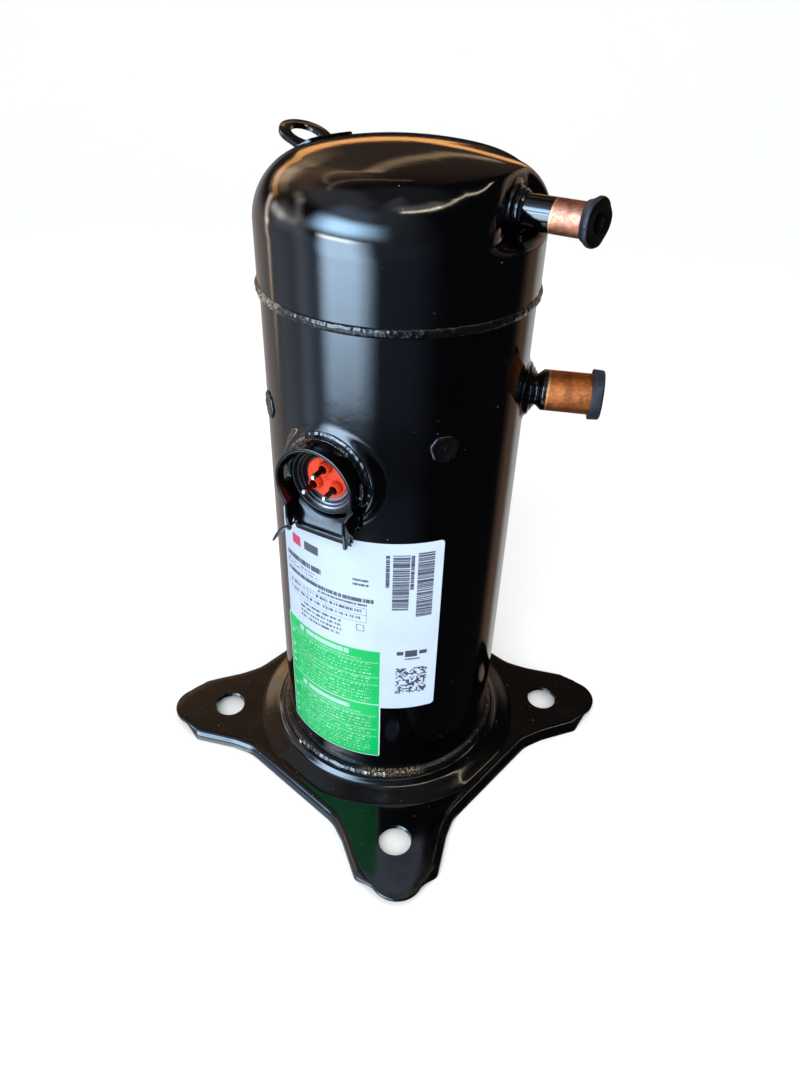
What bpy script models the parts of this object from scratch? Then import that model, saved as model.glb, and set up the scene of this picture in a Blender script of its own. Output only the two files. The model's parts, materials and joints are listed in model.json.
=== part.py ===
"""Hermetic scroll compressor with its foot, capped pipes, terminals and full inner works.

Metres, +Z up. The origin lies on the shell's axis, level with the foot's lowest edges.
-Y is the front. Angles are azimuths in degrees, counter-clockwise from +X. Heights below are
measured from the undersides of the foot's arms, where the empty "foot_plane" stands, and every
piece hangs from it. Each separate physical piece is one object. A moving piece hangs from a
further empty on its own axis.
"""

import math

import bmesh
import bpy

MM = 0.001
GAP = 0.3 * MM  # between neighbouring pieces
SHEET = 3.0 * MM  # wall of the shell, caps and foot
ROUND = 40  # facets of the big shell pieces
FINE = 24  # facets of medium round pieces
COARSE = 14  # facets of small round pieces

# Shell and caps
SHELL_R = 72.2 * MM
CAP_R = 73.2 * MM
SHELL_FOOT_Z = 4.0 * MM
SEAM_Z = 321.75 * MM
CAP_APEX_Z = 388.9 * MM
CORNER_R = 31.4 * MM
CORNER_START_Z = 352.9 * MM
LOBE_CORNER_R = 15.0 * MM
LOBE_START_Z = 367.5 * MM
LOBE_HALF_WIDTH = 36.0  # degrees
LOBE_AZIMUTH = -30.6
POCKET_FLOOR = 60.0 * MM
POCKET_SIDES = (12.0 * MM, 27.0 * MM)
POCKET_LEDGE = (352.5 * MM, 355.5 * MM)
SUMP_Z = -4.0 * MM

# Foot
HOLE_SPACING = 190.5 * MM
FOOT_HOLE_R = 10.3 * MM
ARM_TIP_R = 157.0 * MM
SKIRT_Z = -5.5 * MM
COLLAR_TOP_Z = 11.0 * MM

# Pipes, each along its own radius
DISCHARGE_AZIMUTH = -32.5
DISCHARGE_Z = 366.1 * MM
DISCHARGE_R = 7.95 * MM
SUCTION_AZIMUTH = -12.9
SUCTION_Z = 268.6 * MM
SUCTION_R = 11.1 * MM
SUCTION_NECK_R = 8.6 * MM
SUCTION_BOSS_R = 15.0 * MM
SUCTION_BOSS_FACE = 74.6 * MM
TUBE_WALL = 1.0 * MM

# Electrical terminal
TERMINAL_AZIMUTH = -121.5
TERMINAL_Z = 239.7 * MM
PAD_FACE = 73.0 * MM  # distance of the flat seat from the shell's axis
PAD_R = 27.0 * MM
TERMINAL_HOLE_R = 16.3 * MM
FENCE_FACE = 86.6 * MM
FENCE_R = 23.2 * MM
FENCE_WALL = 2.0 * MM
LEG_X = 18.5 * MM
LEG_END = -33.0 * MM
PIN_CIRCLE_R = 7.0 * MM
PIN_R = 1.45 * MM

# Lifting eye
EYE_AZIMUTH = 132.6
EYE_SHEET = 2.7 * MM
EYE_TILT = math.radians(19.0)
EYE_ROOT = (61.0 * MM, 380.0 * MM)  # radius and height where the loop's upper face begins
EYE_FOOT_R = 52.5 * MM

# Labels: first azimuth, last azimuth, bottom and top
RATING_LABEL = (-153.0, -70.0, 75.5 * MM, 204.0 * MM)
CAUTION_LABEL = (-154.0, -97.0, 29.0 * MM, 124.5 * MM)

# Scroll set: involutes of a base circle, half a pitch apart
BASE_CIRCLE_R = 2.5 * MM
ORBIT_R = 4.0 * MM
FLANK_CLEARANCE = 0.3 * MM
WRAP_START = 2.2  # radians of roll
WRAP_TURNS = 2.5
WRAP_STEPS = 24  # a turn; even, so that facing flanks share their facets
WRAP_THICKNESS = math.pi * BASE_CIRCLE_R - ORBIT_R - FLANK_CLEARANCE
ORBIT_PLATE_Z = (270.1 * MM, 278.0 * MM)
ORBIT_PLATE_R = 52.0 * MM
FIXED_PLATE_Z = (296.0 * MM, 308.0 * MM)
FIXED_R = 66.0 * MM
FIXED_BORE_R = 57.0 * MM
SEAL_HEIGHT = 1.2 * MM
SEAL_WIDTH = 1.6 * MM
BOLT_CIRCLE_R = 61.4 * MM
BOLT_R = 3.0 * MM

# Frame, shaft and motor
BORE_R = 68.9 * MM  # of everything pressed into the shell
FRAME_Z = (257.5 * MM, 274.0 * MM)
OLDHAM_FLOOR_Z = 262.0 * MM
THRUST_Z = 268.0 * MM
JOURNAL_R = 11.0 * MM
CRANK_PIN_R = 8.0 * MM
LOWER_JOURNAL_R = 8.0 * MM
BUSH_TRAVEL = 0.5 * MM
STACK_Z = (95.0 * MM, 175.0 * MM)
ROTOR_R = 37.2 * MM
STATOR_BORE_R = 38.0 * MM
WINDING_RISE = 22.0 * MM
WINDING_DROP = 24.0 * MM
KEY_WIDTH = 8.0 * MM


def clear_scene():
    for obj in list(bpy.data.objects):
        bpy.data.objects.remove(obj, do_unlink=True)


def collection(name):
    made = bpy.data.collections.new(name)
    bpy.context.scene.collection.children.link(made)
    return made


def paint(name, colour, roughness, metallic=0.0):
    """A Principled material in linear RGB."""
    made = bpy.data.materials.new(name)
    made.use_nodes = True
    shader = made.node_tree.nodes["Principled BSDF"]
    shader.inputs["Base Color"].default_value = (*colour, 1.0)
    shader.inputs["Roughness"].default_value = roughness
    shader.inputs["Metallic"].default_value = metallic
    return made


def colour_table():
    """Colour, roughness and metallic value by kind of material."""
    return {
        "black_paint": ((0.012, 0.012, 0.014), 0.18, 0.0),
        "weld": ((0.02, 0.02, 0.022), 0.35, 0.2),
        "copper": ((0.72, 0.32, 0.18), 0.32, 1.0),
        "rubber": ((0.02, 0.022, 0.03), 0.7, 0.0),
        "steel": ((0.55, 0.55, 0.56), 0.3, 1.0),
        "machined": ((0.62, 0.62, 0.63), 0.35, 1.0),
        "cast_iron": ((0.23, 0.23, 0.24), 0.55, 0.9),
        "aluminium": ((0.7, 0.7, 0.71), 0.38, 1.0),
        "insulator": ((0.85, 0.11, 0.05), 0.45, 0.0),
        "white_film": ((0.8, 0.82, 0.84), 0.35, 0.0),
        "green_film": ((0.03, 0.36, 0.13), 0.35, 0.0),
        "bronze": ((0.6, 0.42, 0.2), 0.4, 1.0),
        "polymer": ((0.08, 0.08, 0.09), 0.5, 0.0),
        "windings": ((0.55, 0.22, 0.1), 0.45, 0.6),
        "lamination": ((0.3, 0.31, 0.33), 0.45, 0.9),
        "magnet": ((0.1, 0.1, 0.1), 0.6, 0.3),
    }


class Model:
    """Holds the collections and materials, and adds pieces and cutters to them."""

    def __init__(self):
        self.parts = collection("scroll_compressor")
        self.cutters = collection("cutters")
        self.paints = {name: paint(name, *look) for name, look in colour_table().items()}
        self.foot_plane = None
        self.foot_plane = self.empty("foot_plane", (0, 0, -SKIRT_Z))

    def empty(self, name, location=(0, 0, 0), azimuth=0.0, parent=None):
        made = bpy.data.objects.new(name, None)
        made.empty_display_size = 0.01
        made.location = location
        made.rotation_euler = (0, 0, math.radians(azimuth))
        made.parent = parent or self.foot_plane
        self.parts.objects.link(made)
        return made

    def add(self, name, mesh, material, parent=None, location=(0, 0, 0), rotation=(0, 0, 0)):
        """A named piece from a finished mesh."""
        made = bpy.data.objects.new(name, mesh)
        mesh.name = name
        mesh.materials.clear()
        mesh.materials.append(self.paints[material])
        made.parent = parent or self.foot_plane
        made.location = location
        made.rotation_euler = rotation
        self.parts.objects.link(made)
        return made

    def shape(self, mesh, name, parent=None, location=(0, 0, 0), rotation=(0, 0, 0)):
        """A helper solid for a Boolean, kept out of the render."""
        made = bpy.data.objects.new(name, mesh)
        made.hide_render = True
        made.display_type = "WIRE"
        made.parent = parent or self.foot_plane
        made.location = location
        made.rotation_euler = rotation
        self.cutters.objects.link(made)
        return made


def boolean(piece, other, operation):
    modifier = piece.modifiers.new(f"{operation.lower()} {other.name}", "BOOLEAN")
    modifier.operation = operation
    modifier.object = other
    modifier.solver = "EXACT"


def evaluated_mesh(obj):
    """The object's mesh with modifiers applied, its seams welded and its round faces smooth."""
    bpy.context.view_layer.update()
    graph = bpy.context.evaluated_depsgraph_get()
    mesh = bpy.data.meshes.new_from_object(obj.evaluated_get(graph), depsgraph=graph)
    bpy.data.objects.remove(obj, do_unlink=True)
    work = bmesh.new()
    work.from_mesh(mesh)
    bmesh.ops.remove_doubles(work, verts=work.verts, dist=1e-7)
    work.to_mesh(mesh)
    work.free()
    mesh.shade_smooth()
    mesh.set_sharp_from_angle(angle=math.radians(35))
    return mesh


def scratch(data):
    """A temporary object for a shape that is about to be evaluated."""
    made = bpy.data.objects.new("scratch", data)
    bpy.context.scene.collection.objects.link(made)
    return made


def turned(profile, steps=FINE, angle=360.0, wall=0.0):
    """A profile of (radius, height) that runs down its outer side, turned about Z.

    A profile that touches the axis is left open there, and any other is closed. An open sheet
    line with a wall is thickened inwards.
    """
    closed = min(radius for radius, _ in profile) > 1e-6 and not wall
    edges = [(i, i + 1) for i in range(len(profile) - 1)]
    if closed:
        edges.append((len(profile) - 1, 0))
    mesh = bpy.data.meshes.new("turned")
    mesh.from_pydata([(radius, 0.0, height) for radius, height in profile], edges, [])
    obj = scratch(mesh)
    screw = obj.modifiers.new("turn", "SCREW")
    screw.angle = math.radians(angle)
    screw.steps = steps
    screw.render_steps = steps
    screw.use_merge_vertices = angle == 360.0
    screw.merge_threshold = 1e-5
    if wall:
        solid = obj.modifiers.new("wall", "SOLIDIFY")
        solid.thickness = wall
        solid.offset = -1.0
    return evaluated_mesh(obj)


def disc(radius, low, high, steps=COARSE):
    """A cylinder on the Z axis between two heights."""
    work = bmesh.new()
    bmesh.ops.create_cone(
        work, cap_ends=True, segments=steps, radius1=radius, radius2=radius, depth=high - low
    )
    bmesh.ops.translate(work, verts=work.verts, vec=(0, 0, (low + high) / 2))
    mesh = bpy.data.meshes.new("disc")
    work.to_mesh(mesh)
    work.free()
    mesh.shade_smooth()
    mesh.set_sharp_from_angle(angle=math.radians(35))
    return mesh


def ring(inner, outer, low, high, steps=FINE):
    return turned([(outer, high), (outer, low), (inner, low), (inner, high)], steps)


def plate(outlines, low, high):
    """A flat outline, with any further outlines as holes, between two heights."""
    curve = bpy.data.curves.new("outline", "CURVE")
    curve.dimensions = "2D"
    curve.fill_mode = "BOTH"
    curve.extrude = (high - low) / 2
    for points in outlines:
        spline = curve.splines.new("POLY")
        spline.points.add(len(points) - 1)
        for point, (x, y) in zip(spline.points, points):
            point.co = (x, y, 0.0, 1.0)
        spline.use_cyclic_u = True
    mesh = evaluated_mesh(scratch(curve))
    for vertex in mesh.vertices:
        vertex.co.z += (high + low) / 2
    return mesh


def wire(points, radius):
    """A round wire or cable along a line of points."""
    curve = bpy.data.curves.new("wire", "CURVE")
    curve.dimensions = "3D"
    curve.bevel_depth = radius
    curve.bevel_resolution = 2
    curve.use_fill_caps = True
    spline = curve.splines.new("POLY")
    spline.points.add(len(points) - 1)
    for point, place in zip(spline.points, points):
        point.co = (*place, 1.0)
    return evaluated_mesh(scratch(curve))


def box(low, high):
    work = bmesh.new()
    bmesh.ops.create_cube(work, size=1.0)
    for vertex in work.verts:
        for k in range(3):
            vertex.co[k] = low[k] if vertex.co[k] < 0 else high[k]
    mesh = bpy.data.meshes.new("box")
    work.to_mesh(mesh)
    work.free()
    return mesh


def arc(radius, first, last, steps, centre=(0.0, 0.0)):
    """Points on an arc, in degrees from first to last."""
    turns = [math.radians(first + (last - first) * i / steps) for i in range(steps + 1)]
    return [(centre[0] + radius * math.cos(t), centre[1] + radius * math.sin(t)) for t in turns]


def circle(radius, steps=FINE, centre=(0.0, 0.0)):
    return arc(radius, 0.0, 360.0, steps, centre)[:-1]


def on_circle(radius, azimuth):
    return radius * math.cos(math.radians(azimuth)), radius * math.sin(math.radians(azimuth))


RADIAL = (0, math.pi / 2, 0)  # lays a turned piece's own Z along its parent's +X


# ---------------------------------------------------------------- shell, caps and welds


def lobe_weight(azimuth):
    """1 at the middle of the lobe over the discharge pipe, falling smoothly to 0 at its edges."""
    away = abs((azimuth - LOBE_AZIMUTH + 180.0) % 360.0 - 180.0)
    if away >= LOBE_HALF_WIDTH:
        return 0.0
    return math.cos(math.pi / 2 * away / LOBE_HALF_WIDTH) ** 2


def cap_profile(weight, corner_steps=5, dome_steps=4):
    """Outer line of the top cap from its rim to just short of the apex."""
    corner = CORNER_R + (LOBE_CORNER_R - CORNER_R) * weight
    start = CORNER_START_Z + (LOBE_START_Z - CORNER_START_Z) * weight
    reach = CAP_R - corner
    rise = CAP_APEX_Z - start
    dome = (reach**2 + rise**2 - corner**2) / (2 * (rise - corner))
    dome_centre = CAP_APEX_Z - dome
    join = math.atan2(start - dome_centre, reach)
    line = [(CAP_R, SEAM_Z + GAP / 2)]
    for height in (350.5 * MM, 352.5 * MM, 354.0 * MM, 355.5 * MM, 360.0 * MM, 366.0 * MM):
        turn = math.asin(max(0.0, (height - start) / corner))
        line.append((reach + corner * math.cos(turn), height))
    for i in range(1, corner_steps + 1):
        angle = turn + (join - turn) * i / corner_steps
        line.append((reach + corner * math.cos(angle), start + corner * math.sin(angle)))
    for i in range(1, dome_steps):
        turn = join + (math.pi / 2 - join) * i / dome_steps
        line.append((dome * math.cos(turn), dome_centre + dome * math.sin(turn)))
    return line


def eased(value, low, high):
    t = min(max((value - low) / (high - low), 0.0), 1.0)
    return t * t * (3.0 - 2.0 * t)


def cap_point(azimuth, radius, height):
    """A point of the cap's outer face, after the flat for the discharge pipe is pressed in."""
    away = math.radians(azimuth - DISCHARGE_AZIMUTH)
    out, across = radius * math.cos(away), radius * math.sin(away)
    share = (1.0 - eased(abs(across), *POCKET_SIDES)) * eased(height, *POCKET_LEDGE)
    out -= share * max(0.0, out - POCKET_FLOOR)
    return (*spun(out, across, math.radians(DISCHARGE_AZIMUTH)), height)


def top_cap_mesh():
    """A loft between the plain cap profile and the tighter one at the discharge lobe."""
    work = bmesh.new()
    rings = []
    facet = 360.0 / ROUND
    azimuths = {facet * i for i in range(ROUND)}
    azimuths |= {360.0 - facet * i / 3 for i in range(1, 22)}
    for azimuth in sorted(azimuths):
        chord = math.cos(math.radians(facet / 2)) / math.cos(math.radians(azimuth % facet - facet / 2))
        line = cap_profile(lobe_weight(azimuth))
        rings.append([work.verts.new(cap_point(azimuth, r * chord, z)) for r, z in line])
    apex = work.verts.new((0, 0, CAP_APEX_Z))
    for here, there in zip(rings, rings[1:] + rings[:1]):
        for a, b, c, d in zip(here, there, there[1:], here[1:]):
            work.faces.new((a, b, c, d))
        work.faces.new((here[-1], there[-1], apex))
    mesh = bpy.data.meshes.new("cap")
    work.to_mesh(mesh)
    work.free()
    obj = scratch(mesh)
    solid = obj.modifiers.new("wall", "SOLIDIFY")
    solid.thickness = SHEET
    solid.offset = -1.0
    return evaluated_mesh(obj)


def add_shell(model, ports):
    bore = SHELL_R - SHEET
    shell = disc(SHELL_R, SHELL_FOOT_Z, SEAM_Z - GAP / 2, ROUND)
    shell = model.add("main_shell", shell, "black_paint")
    pad = disc(PAD_R, 40.0 * MM, PAD_FACE, FINE)
    boolean(shell, model.shape(pad, "terminal_pad", ports["terminal"], rotation=RADIAL), "UNION")
    boss = disc(SUCTION_BOSS_R, 40.0 * MM, SUCTION_BOSS_FACE, COARSE)
    boolean(shell, model.shape(boss, "suction_boss", ports["suction"], rotation=RADIAL), "UNION")
    hollow = model.shape(disc(bore, SHELL_FOOT_Z - SHEET, SEAM_Z + SHEET, ROUND), "shell_hollow")
    boolean(shell, hollow, "DIFFERENCE")
    hole = disc(TERMINAL_HOLE_R, 50.0 * MM, 90.0 * MM, FINE)
    hole = model.shape(hole, "terminal_hole", ports["terminal"], rotation=RADIAL)
    boolean(shell, hole, "DIFFERENCE")
    inlet = disc(SUCTION_NECK_R + GAP, 50.0 * MM, 90.0 * MM, COARSE)
    inlet = model.shape(inlet, "suction_hole", ports["suction"], rotation=RADIAL)
    boolean(shell, inlet, "DIFFERENCE")


def add_caps(model, ports):
    cap = model.add("top_cap", top_cap_mesh(), "black_paint")
    outlet = disc(DISCHARGE_R + GAP, 40.0 * MM, 90.0 * MM, COARSE)
    outlet = model.shape(outlet, "discharge_hole", ports["discharge"], rotation=RADIAL)
    boolean(cap, outlet, "DIFFERENCE")
    outer = BORE_R
    inner = BORE_R - SHEET
    pan = [
        (outer, 20 * MM),
        (outer, 9 * MM),
        (outer - 3 * MM, 0.5 * MM),
        (outer - 9 * MM, -3 * MM),
        (0, SUMP_Z),
        (0, SUMP_Z + SHEET),
        (inner - 7 * MM, 0.0),
        (inner - 2.2 * MM, 2 * MM),
        (inner, 9.5 * MM),
        (inner, 20 * MM),
        (outer, 20 * MM),
    ]
    model.add("bottom_cap", turned(pan, ROUND), "black_paint")


def add_welds(model):
    high = SEAM_Z + 3.3 * MM
    low = SEAM_Z - 3.3 * MM
    seam = [
        (CAP_R + GAP, high),
        (74.9 * MM, SEAM_Z + 1.2 * MM),
        (74.9 * MM, SEAM_Z - 1.2 * MM),
        (SHELL_R + 1.0 * MM, low),
        (SHELL_R + GAP, low),
        (SHELL_R + GAP, SEAM_Z - 0.5 * MM),
        (CAP_R + GAP, SEAM_Z - 0.4 * MM),
    ]
    model.add("top_seam_weld", turned(seam, ROUND), "weld")
    foot = [
        (73.0 * MM, 16.2 * MM),
        (75.4 * MM, 15.2 * MM),
        (76.5 * MM, 13.2 * MM),
        (75.8 * MM, COLLAR_TOP_Z + GAP),
        (SHELL_R + GAP, COLLAR_TOP_Z + GAP),
        (SHELL_R + GAP, 16.2 * MM),
    ]
    model.add("base_weld", turned(foot, ROUND), "weld")
    for i in range(4):
        port = model.empty(f"plug_weld_axis_{i + 1}", (0, 0, 260.7 * MM), -73.3 - 90.0 * i)
        nugget = [
            (0, 73.0 * MM),
            (4.6 * MM, 72.9 * MM),
            (6.4 * MM, 73.5 * MM),
            (7.35 * MM, 73.1 * MM),
            (7.35 * MM, SHELL_R + GAP),
            (0, SHELL_R + GAP),
        ]
        model.add(f"frame_plug_weld_{i + 1}", turned(nugget, COARSE), "weld", port, rotation=RADIAL)


# ---------------------------------------------------------------- foot


def spun(x, y, turn):
    return x * math.cos(turn) - y * math.sin(turn), x * math.sin(turn) + y * math.cos(turn)


def arm_side():
    """One side of an arm pointing along +Y, from its tip to the middle of the next edge."""
    tip = arc(17.0 * MM, 90.0, 30.0, 4, (0.0, ARM_TIP_R - 17.0 * MM))
    flank = [(26.0 * MM, 138.5 * MM), (34.0 * MM, 112.0 * MM), (40.2 * MM, 98.4 * MM)]
    return tip + flank


def foot_outline():
    """The whole star: an arm on each axis, each side mirrored."""
    side = arm_side()
    arm = [(-x, y) for x, y in reversed(side[1:])] + side
    outline = []
    for quarter in range(4):
        turn = math.radians(90.0 - 90.0 * quarter) - math.pi / 2
        outline += [spun(x, y, turn) for x, y in arm]
    return outline


def skirt_outline(quarter):
    """The turned-down edge between two arms, as a strip inside the star's own edge."""
    outer = arm_side()[-3:]
    outer = outer + [(y, x) for x, y in reversed(outer)]
    inner = []
    for i, (x, y) in enumerate(outer):
        shift = SHEET * 0.9 if i in (0, len(outer) - 1) else SHEET
        direction = math.atan2(y - 135 * MM, x - 135 * MM)
        inner.append((x + shift * math.cos(direction) * 1.2, y + shift * math.sin(direction) * 1.2))
    turn = math.radians(90.0 * quarter)
    return [spun(x, y, turn) for x, y in outer + inner[::-1]]


def add_foot(model):
    radius = HOLE_SPACING / math.sqrt(2)
    holes = [circle(FOOT_HOLE_R, COARSE, on_circle(radius, 90.0 * i)) for i in range(4)]
    opening = circle(90.0 * MM, ROUND)
    star = plate([foot_outline(), opening] + holes, 0.0, SHEET)
    base = model.add("base_plate", star, "black_paint")
    for quarter in range(4):
        strip = plate([skirt_outline(quarter)], SKIRT_Z, 1.0 * MM)
        boolean(base, model.shape(strip, f"skirt_{quarter + 1}"), "UNION")
    rise = [
        (77.8 * MM, COLLAR_TOP_Z),
        (80.6 * MM, 6.8 * MM),
        (91.0 * MM, SHEET),
        (91.0 * MM, 0.0),
        (79.0 * MM, 3.4 * MM),
        (74.8 * MM, 7.0 * MM),
        (74.8 * MM, COLLAR_TOP_Z),
    ]
    boolean(base, model.shape(turned(rise, ROUND), "foot_collar"), "UNION")


# ---------------------------------------------------------------- pipes and plugs


def add_discharge(model, port):
    bore = DISCHARGE_R - TUBE_WALL
    end = 96.0 * MM
    tube = ring(bore, DISCHARGE_R, 53.0 * MM, end)
    model.add("discharge_tube", tube, "copper", port, rotation=RADIAL)
    collar = [
        (8.7 * MM, 66.2 * MM),
        (9.3 * MM, 64.4 * MM),
        (10.1 * MM, 62.6 * MM),
        (10.1 * MM, POCKET_FLOOR + GAP),
        (DISCHARGE_R + GAP, POCKET_FLOOR + GAP),
        (DISCHARGE_R + GAP, 66.2 * MM),
    ]
    model.add("discharge_collar", turned(collar, FINE), "black_paint", port, rotation=RADIAL)
    sleeve = DISCHARGE_R + GAP
    plug = [
        (0, 97.6 * MM),
        (4.5 * MM, 97.6 * MM),
        (4.5 * MM, 100.6 * MM),
        (10.7 * MM, 100.6 * MM),
        (11.1 * MM, 100.2 * MM),
        (11.1 * MM, 98.4 * MM),
        (9.8 * MM, 96.8 * MM),
        (8.9 * MM, 92.4 * MM),
        (sleeve, 92.4 * MM),
        (sleeve, end + GAP),
        (0, end + GAP),
    ]
    model.add("discharge_plug", turned(plug, FINE), "rubber", port, rotation=RADIAL)


def add_suction(model, port):
    end = 111.9 * MM
    flare = (78.3 * MM, 81.0 * MM)
    tube = [
        (SUCTION_R, end),
        (SUCTION_R, flare[1]),
        (SUCTION_NECK_R, flare[0]),
        (SUCTION_NECK_R, 66.5 * MM),
        (SUCTION_NECK_R - TUBE_WALL, 66.5 * MM),
        (SUCTION_NECK_R - TUBE_WALL, flare[0]),
        (SUCTION_R - TUBE_WALL, flare[1]),
        (SUCTION_R - TUBE_WALL, end),
    ]
    model.add("suction_tube", turned(tube, FINE), "copper", port, rotation=RADIAL)
    collar = [
        (9.6 * MM, 77.2 * MM),
        (11.2 * MM, 76.6 * MM),
        (12.6 * MM, 74.9 * MM),
        (SUCTION_NECK_R + GAP, 74.9 * MM),
        (SUCTION_NECK_R + GAP, 77.2 * MM),
    ]
    model.add("suction_collar", turned(collar, FINE), "black_paint", port, rotation=RADIAL)
    sleeve = SUCTION_R + GAP
    plug = [
        (0, 113.2 * MM),
        (12.9 * MM, 113.2 * MM),
        (13.5 * MM, 112.6 * MM),
        (13.5 * MM, 106.9 * MM),
        (sleeve, 106.9 * MM),
        (sleeve, end + GAP),
        (0, end + GAP),
    ]
    model.add("suction_plug", turned(plug, FINE), "rubber", port, rotation=RADIAL)


# ---------------------------------------------------------------- electrical terminal


def pin_places():
    """Centres of the three terminal pins in the terminal's own X (up) and Y (across) plane."""
    return [on_circle(PIN_CIRCLE_R, angle) for angle in (0.0, 120.0, 240.0)]


def pin_cutters(model, port, name, radius, low, high):
    made = []
    for i, (x, y) in enumerate(pin_places()):
        mesh = disc(radius, low, high, 12)
        made.append(model.shape(mesh, f"{name}_{i + 1}", port, (0, y, x), RADIAL))
    return made


def add_terminal(model, port):
    cup = [
        (0, 72.3 * MM),
        (13.2 * MM, 72.3 * MM),
        (17.6 * MM, 78.0 * MM),
        (18.8 * MM, 77.6 * MM),
        (16.8 * MM, PAD_FACE + GAP),
        (16.0 * MM, PAD_FACE + GAP),
        (16.0 * MM, 67.0 * MM),
        (0, 67.0 * MM),
    ]
    body = model.add("terminal_body", turned(cup, FINE), "steel", port, rotation=RADIAL)
    for cutter in pin_cutters(model, port, "body_pin_hole", PIN_R + GAP, 60 * MM, 80 * MM):
        boolean(body, cutter, "DIFFERENCE")
    insulator = disc(11.7 * MM, 72.6 * MM, 74.6 * MM, FINE)
    insulator = model.add("terminal_insulator", insulator, "insulator", port, rotation=RADIAL)
    for cutter in pin_cutters(model, port, "insulator_boss", 3.1 * MM, 73.0 * MM, 78.6 * MM):
        boolean(insulator, cutter, "UNION")
    for cutter in pin_cutters(model, port, "insulator_pin_hole", PIN_R + GAP, 60 * MM, 90 * MM):
        boolean(insulator, cutter, "DIFFERENCE")
    pin = [
        (0, 88.0 * MM),
        (1.0 * MM, 88.0 * MM),
        (PIN_R, 87.4 * MM),
        (PIN_R, 56.0 * MM),
        (0, 56.0 * MM),
    ]
    for i, (x, y) in enumerate(pin_places()):
        model.add(f"terminal_pin_{i + 1}", turned(pin, 12), "steel", port, (0, y, x), RADIAL)


def fence_band():
    """The U-shaped band: an arch over the terminals with a straight leg on each side.

    Drawn with X up and Y across, to lie in the same plane as the turned pieces' sections.
    """
    inner_r = FENCE_R - FENCE_WALL
    inner_leg = LEG_X - FENCE_WALL
    outer_turn = math.degrees(math.acos(LEG_X / FENCE_R))
    inner_turn = math.degrees(math.acos(inner_leg / inner_r))
    arch = arc(FENCE_R, -outer_turn, 180.0 + outer_turn, 20)
    inside = arc(inner_r, 180.0 + inner_turn, -inner_turn, 20)
    across = [(LEG_X, LEG_END)] + arch + [(-LEG_X, LEG_END)]
    across += [(-inner_leg, LEG_END)] + inside + [(inner_leg, LEG_END)]
    return [(-up, side) for side, up in across]


def add_fence(model, port):
    low = PAD_FACE + GAP
    band = plate([fence_band()], low, FENCE_FACE)
    fence = model.add("terminal_fence", band, "black_paint", port, rotation=RADIAL)
    back = ring(FENCE_R - FENCE_WALL - 0.6 * MM, FENCE_R - 0.6 * MM, low + GAP, low + 2.2 * MM)
    boolean(fence, model.shape(back, "fence_back", port, rotation=RADIAL), "UNION")
    inner_leg = LEG_X - FENCE_WALL / 2
    rear = low + 2 * GAP
    slope = [(rear, -19.5 * MM), (79.6 * MM, -32.2 * MM), (77.4 * MM, -32.7 * MM), (rear, -22.6 * MM)]
    apron = plate([slope], -inner_leg, inner_leg)
    boolean(fence, model.shape(apron, "fence_apron", port, rotation=(math.pi / 2, 0, 0)), "UNION")
    hook = [(-17.5, -32.8), (-17.5, -30.5), (-31.0, -45.6), (-30.2, -47.2)]
    hook = plate([[(y * MM, z * MM) for y, z in hook]], 79.5 * MM, FENCE_FACE - 0.5 * MM)
    boolean(fence, model.shape(hook, "fence_hook", port, rotation=(math.pi / 2, 0, math.pi / 2)), "UNION")
    window = box((75.6 * MM, -30 * MM, -4.5 * MM), (81.6 * MM, 30 * MM, 5.5 * MM))
    boolean(fence, model.shape(window, "fence_windows", port), "DIFFERENCE")


# ---------------------------------------------------------------- eye and labels


def corner_point(radius):
    """Height and inward-falling slope of the plain cap's corner at this radius."""
    reach = CAP_R - CORNER_R
    turn = math.acos((radius - reach) / CORNER_R)
    return CORNER_START_Z + CORNER_R * math.sin(turn), math.pi / 2 - turn


def add_eye(model):
    radius, height = EYE_ROOT
    port = model.empty("lifting_eye_root", (*on_circle(radius, EYE_AZIMUTH), height), EYE_AZIMUTH)
    centre = 10.4 * MM
    loop = arc(14.3 * MM, 105.0, -105.0, 12, (centre, 0.0))
    tongue = [(-0.5 * MM, -14.0 * MM), (-0.5 * MM, 14.0 * MM)]
    hole = [(centre + 8.7 * MM * x, 7.6 * MM * y) for x, y in circle(1.0, COARSE)]
    loop = plate([tongue + loop, hole], -EYE_SHEET, 0.0)
    eye = model.add("lifting_eye", loop, "black_paint", port, rotation=(0, -EYE_TILT, 0))
    seat, slope = corner_point(EYE_FOOT_R)
    place = (*on_circle(EYE_FOOT_R, EYE_AZIMUTH), seat)
    base = model.empty("lifting_eye_seat", place, EYE_AZIMUTH)
    foot = box((-9.0 * MM, -12.0 * MM, GAP), (9.9 * MM, 12.0 * MM, GAP + EYE_SHEET))
    boolean(eye, model.shape(foot, "eye_foot", base, rotation=(0, slope, 0)), "UNION")


def label_sheet(label, radius, thickness):
    """A thin film on the shell, between two azimuths and two heights."""
    first, last, low, high = label
    steps = max(2, round((last - first) * ROUND / 360.0))
    return turned([(radius, high), (radius, low)], steps, last - first, thickness), math.radians(first)


def add_labels(model):
    film = 0.2 * MM
    sheet, turn = label_sheet(RATING_LABEL, SHELL_R + GAP + film, film)
    model.add("rating_label", sheet, "white_film", rotation=(0, 0, turn))
    sheet, turn = label_sheet(CAUTION_LABEL, SHELL_R + 2 * GAP + 2 * film, film)
    model.add("caution_label", sheet, "green_film", rotation=(0, 0, turn))


# ---------------------------------------------------------------- scroll set


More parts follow.
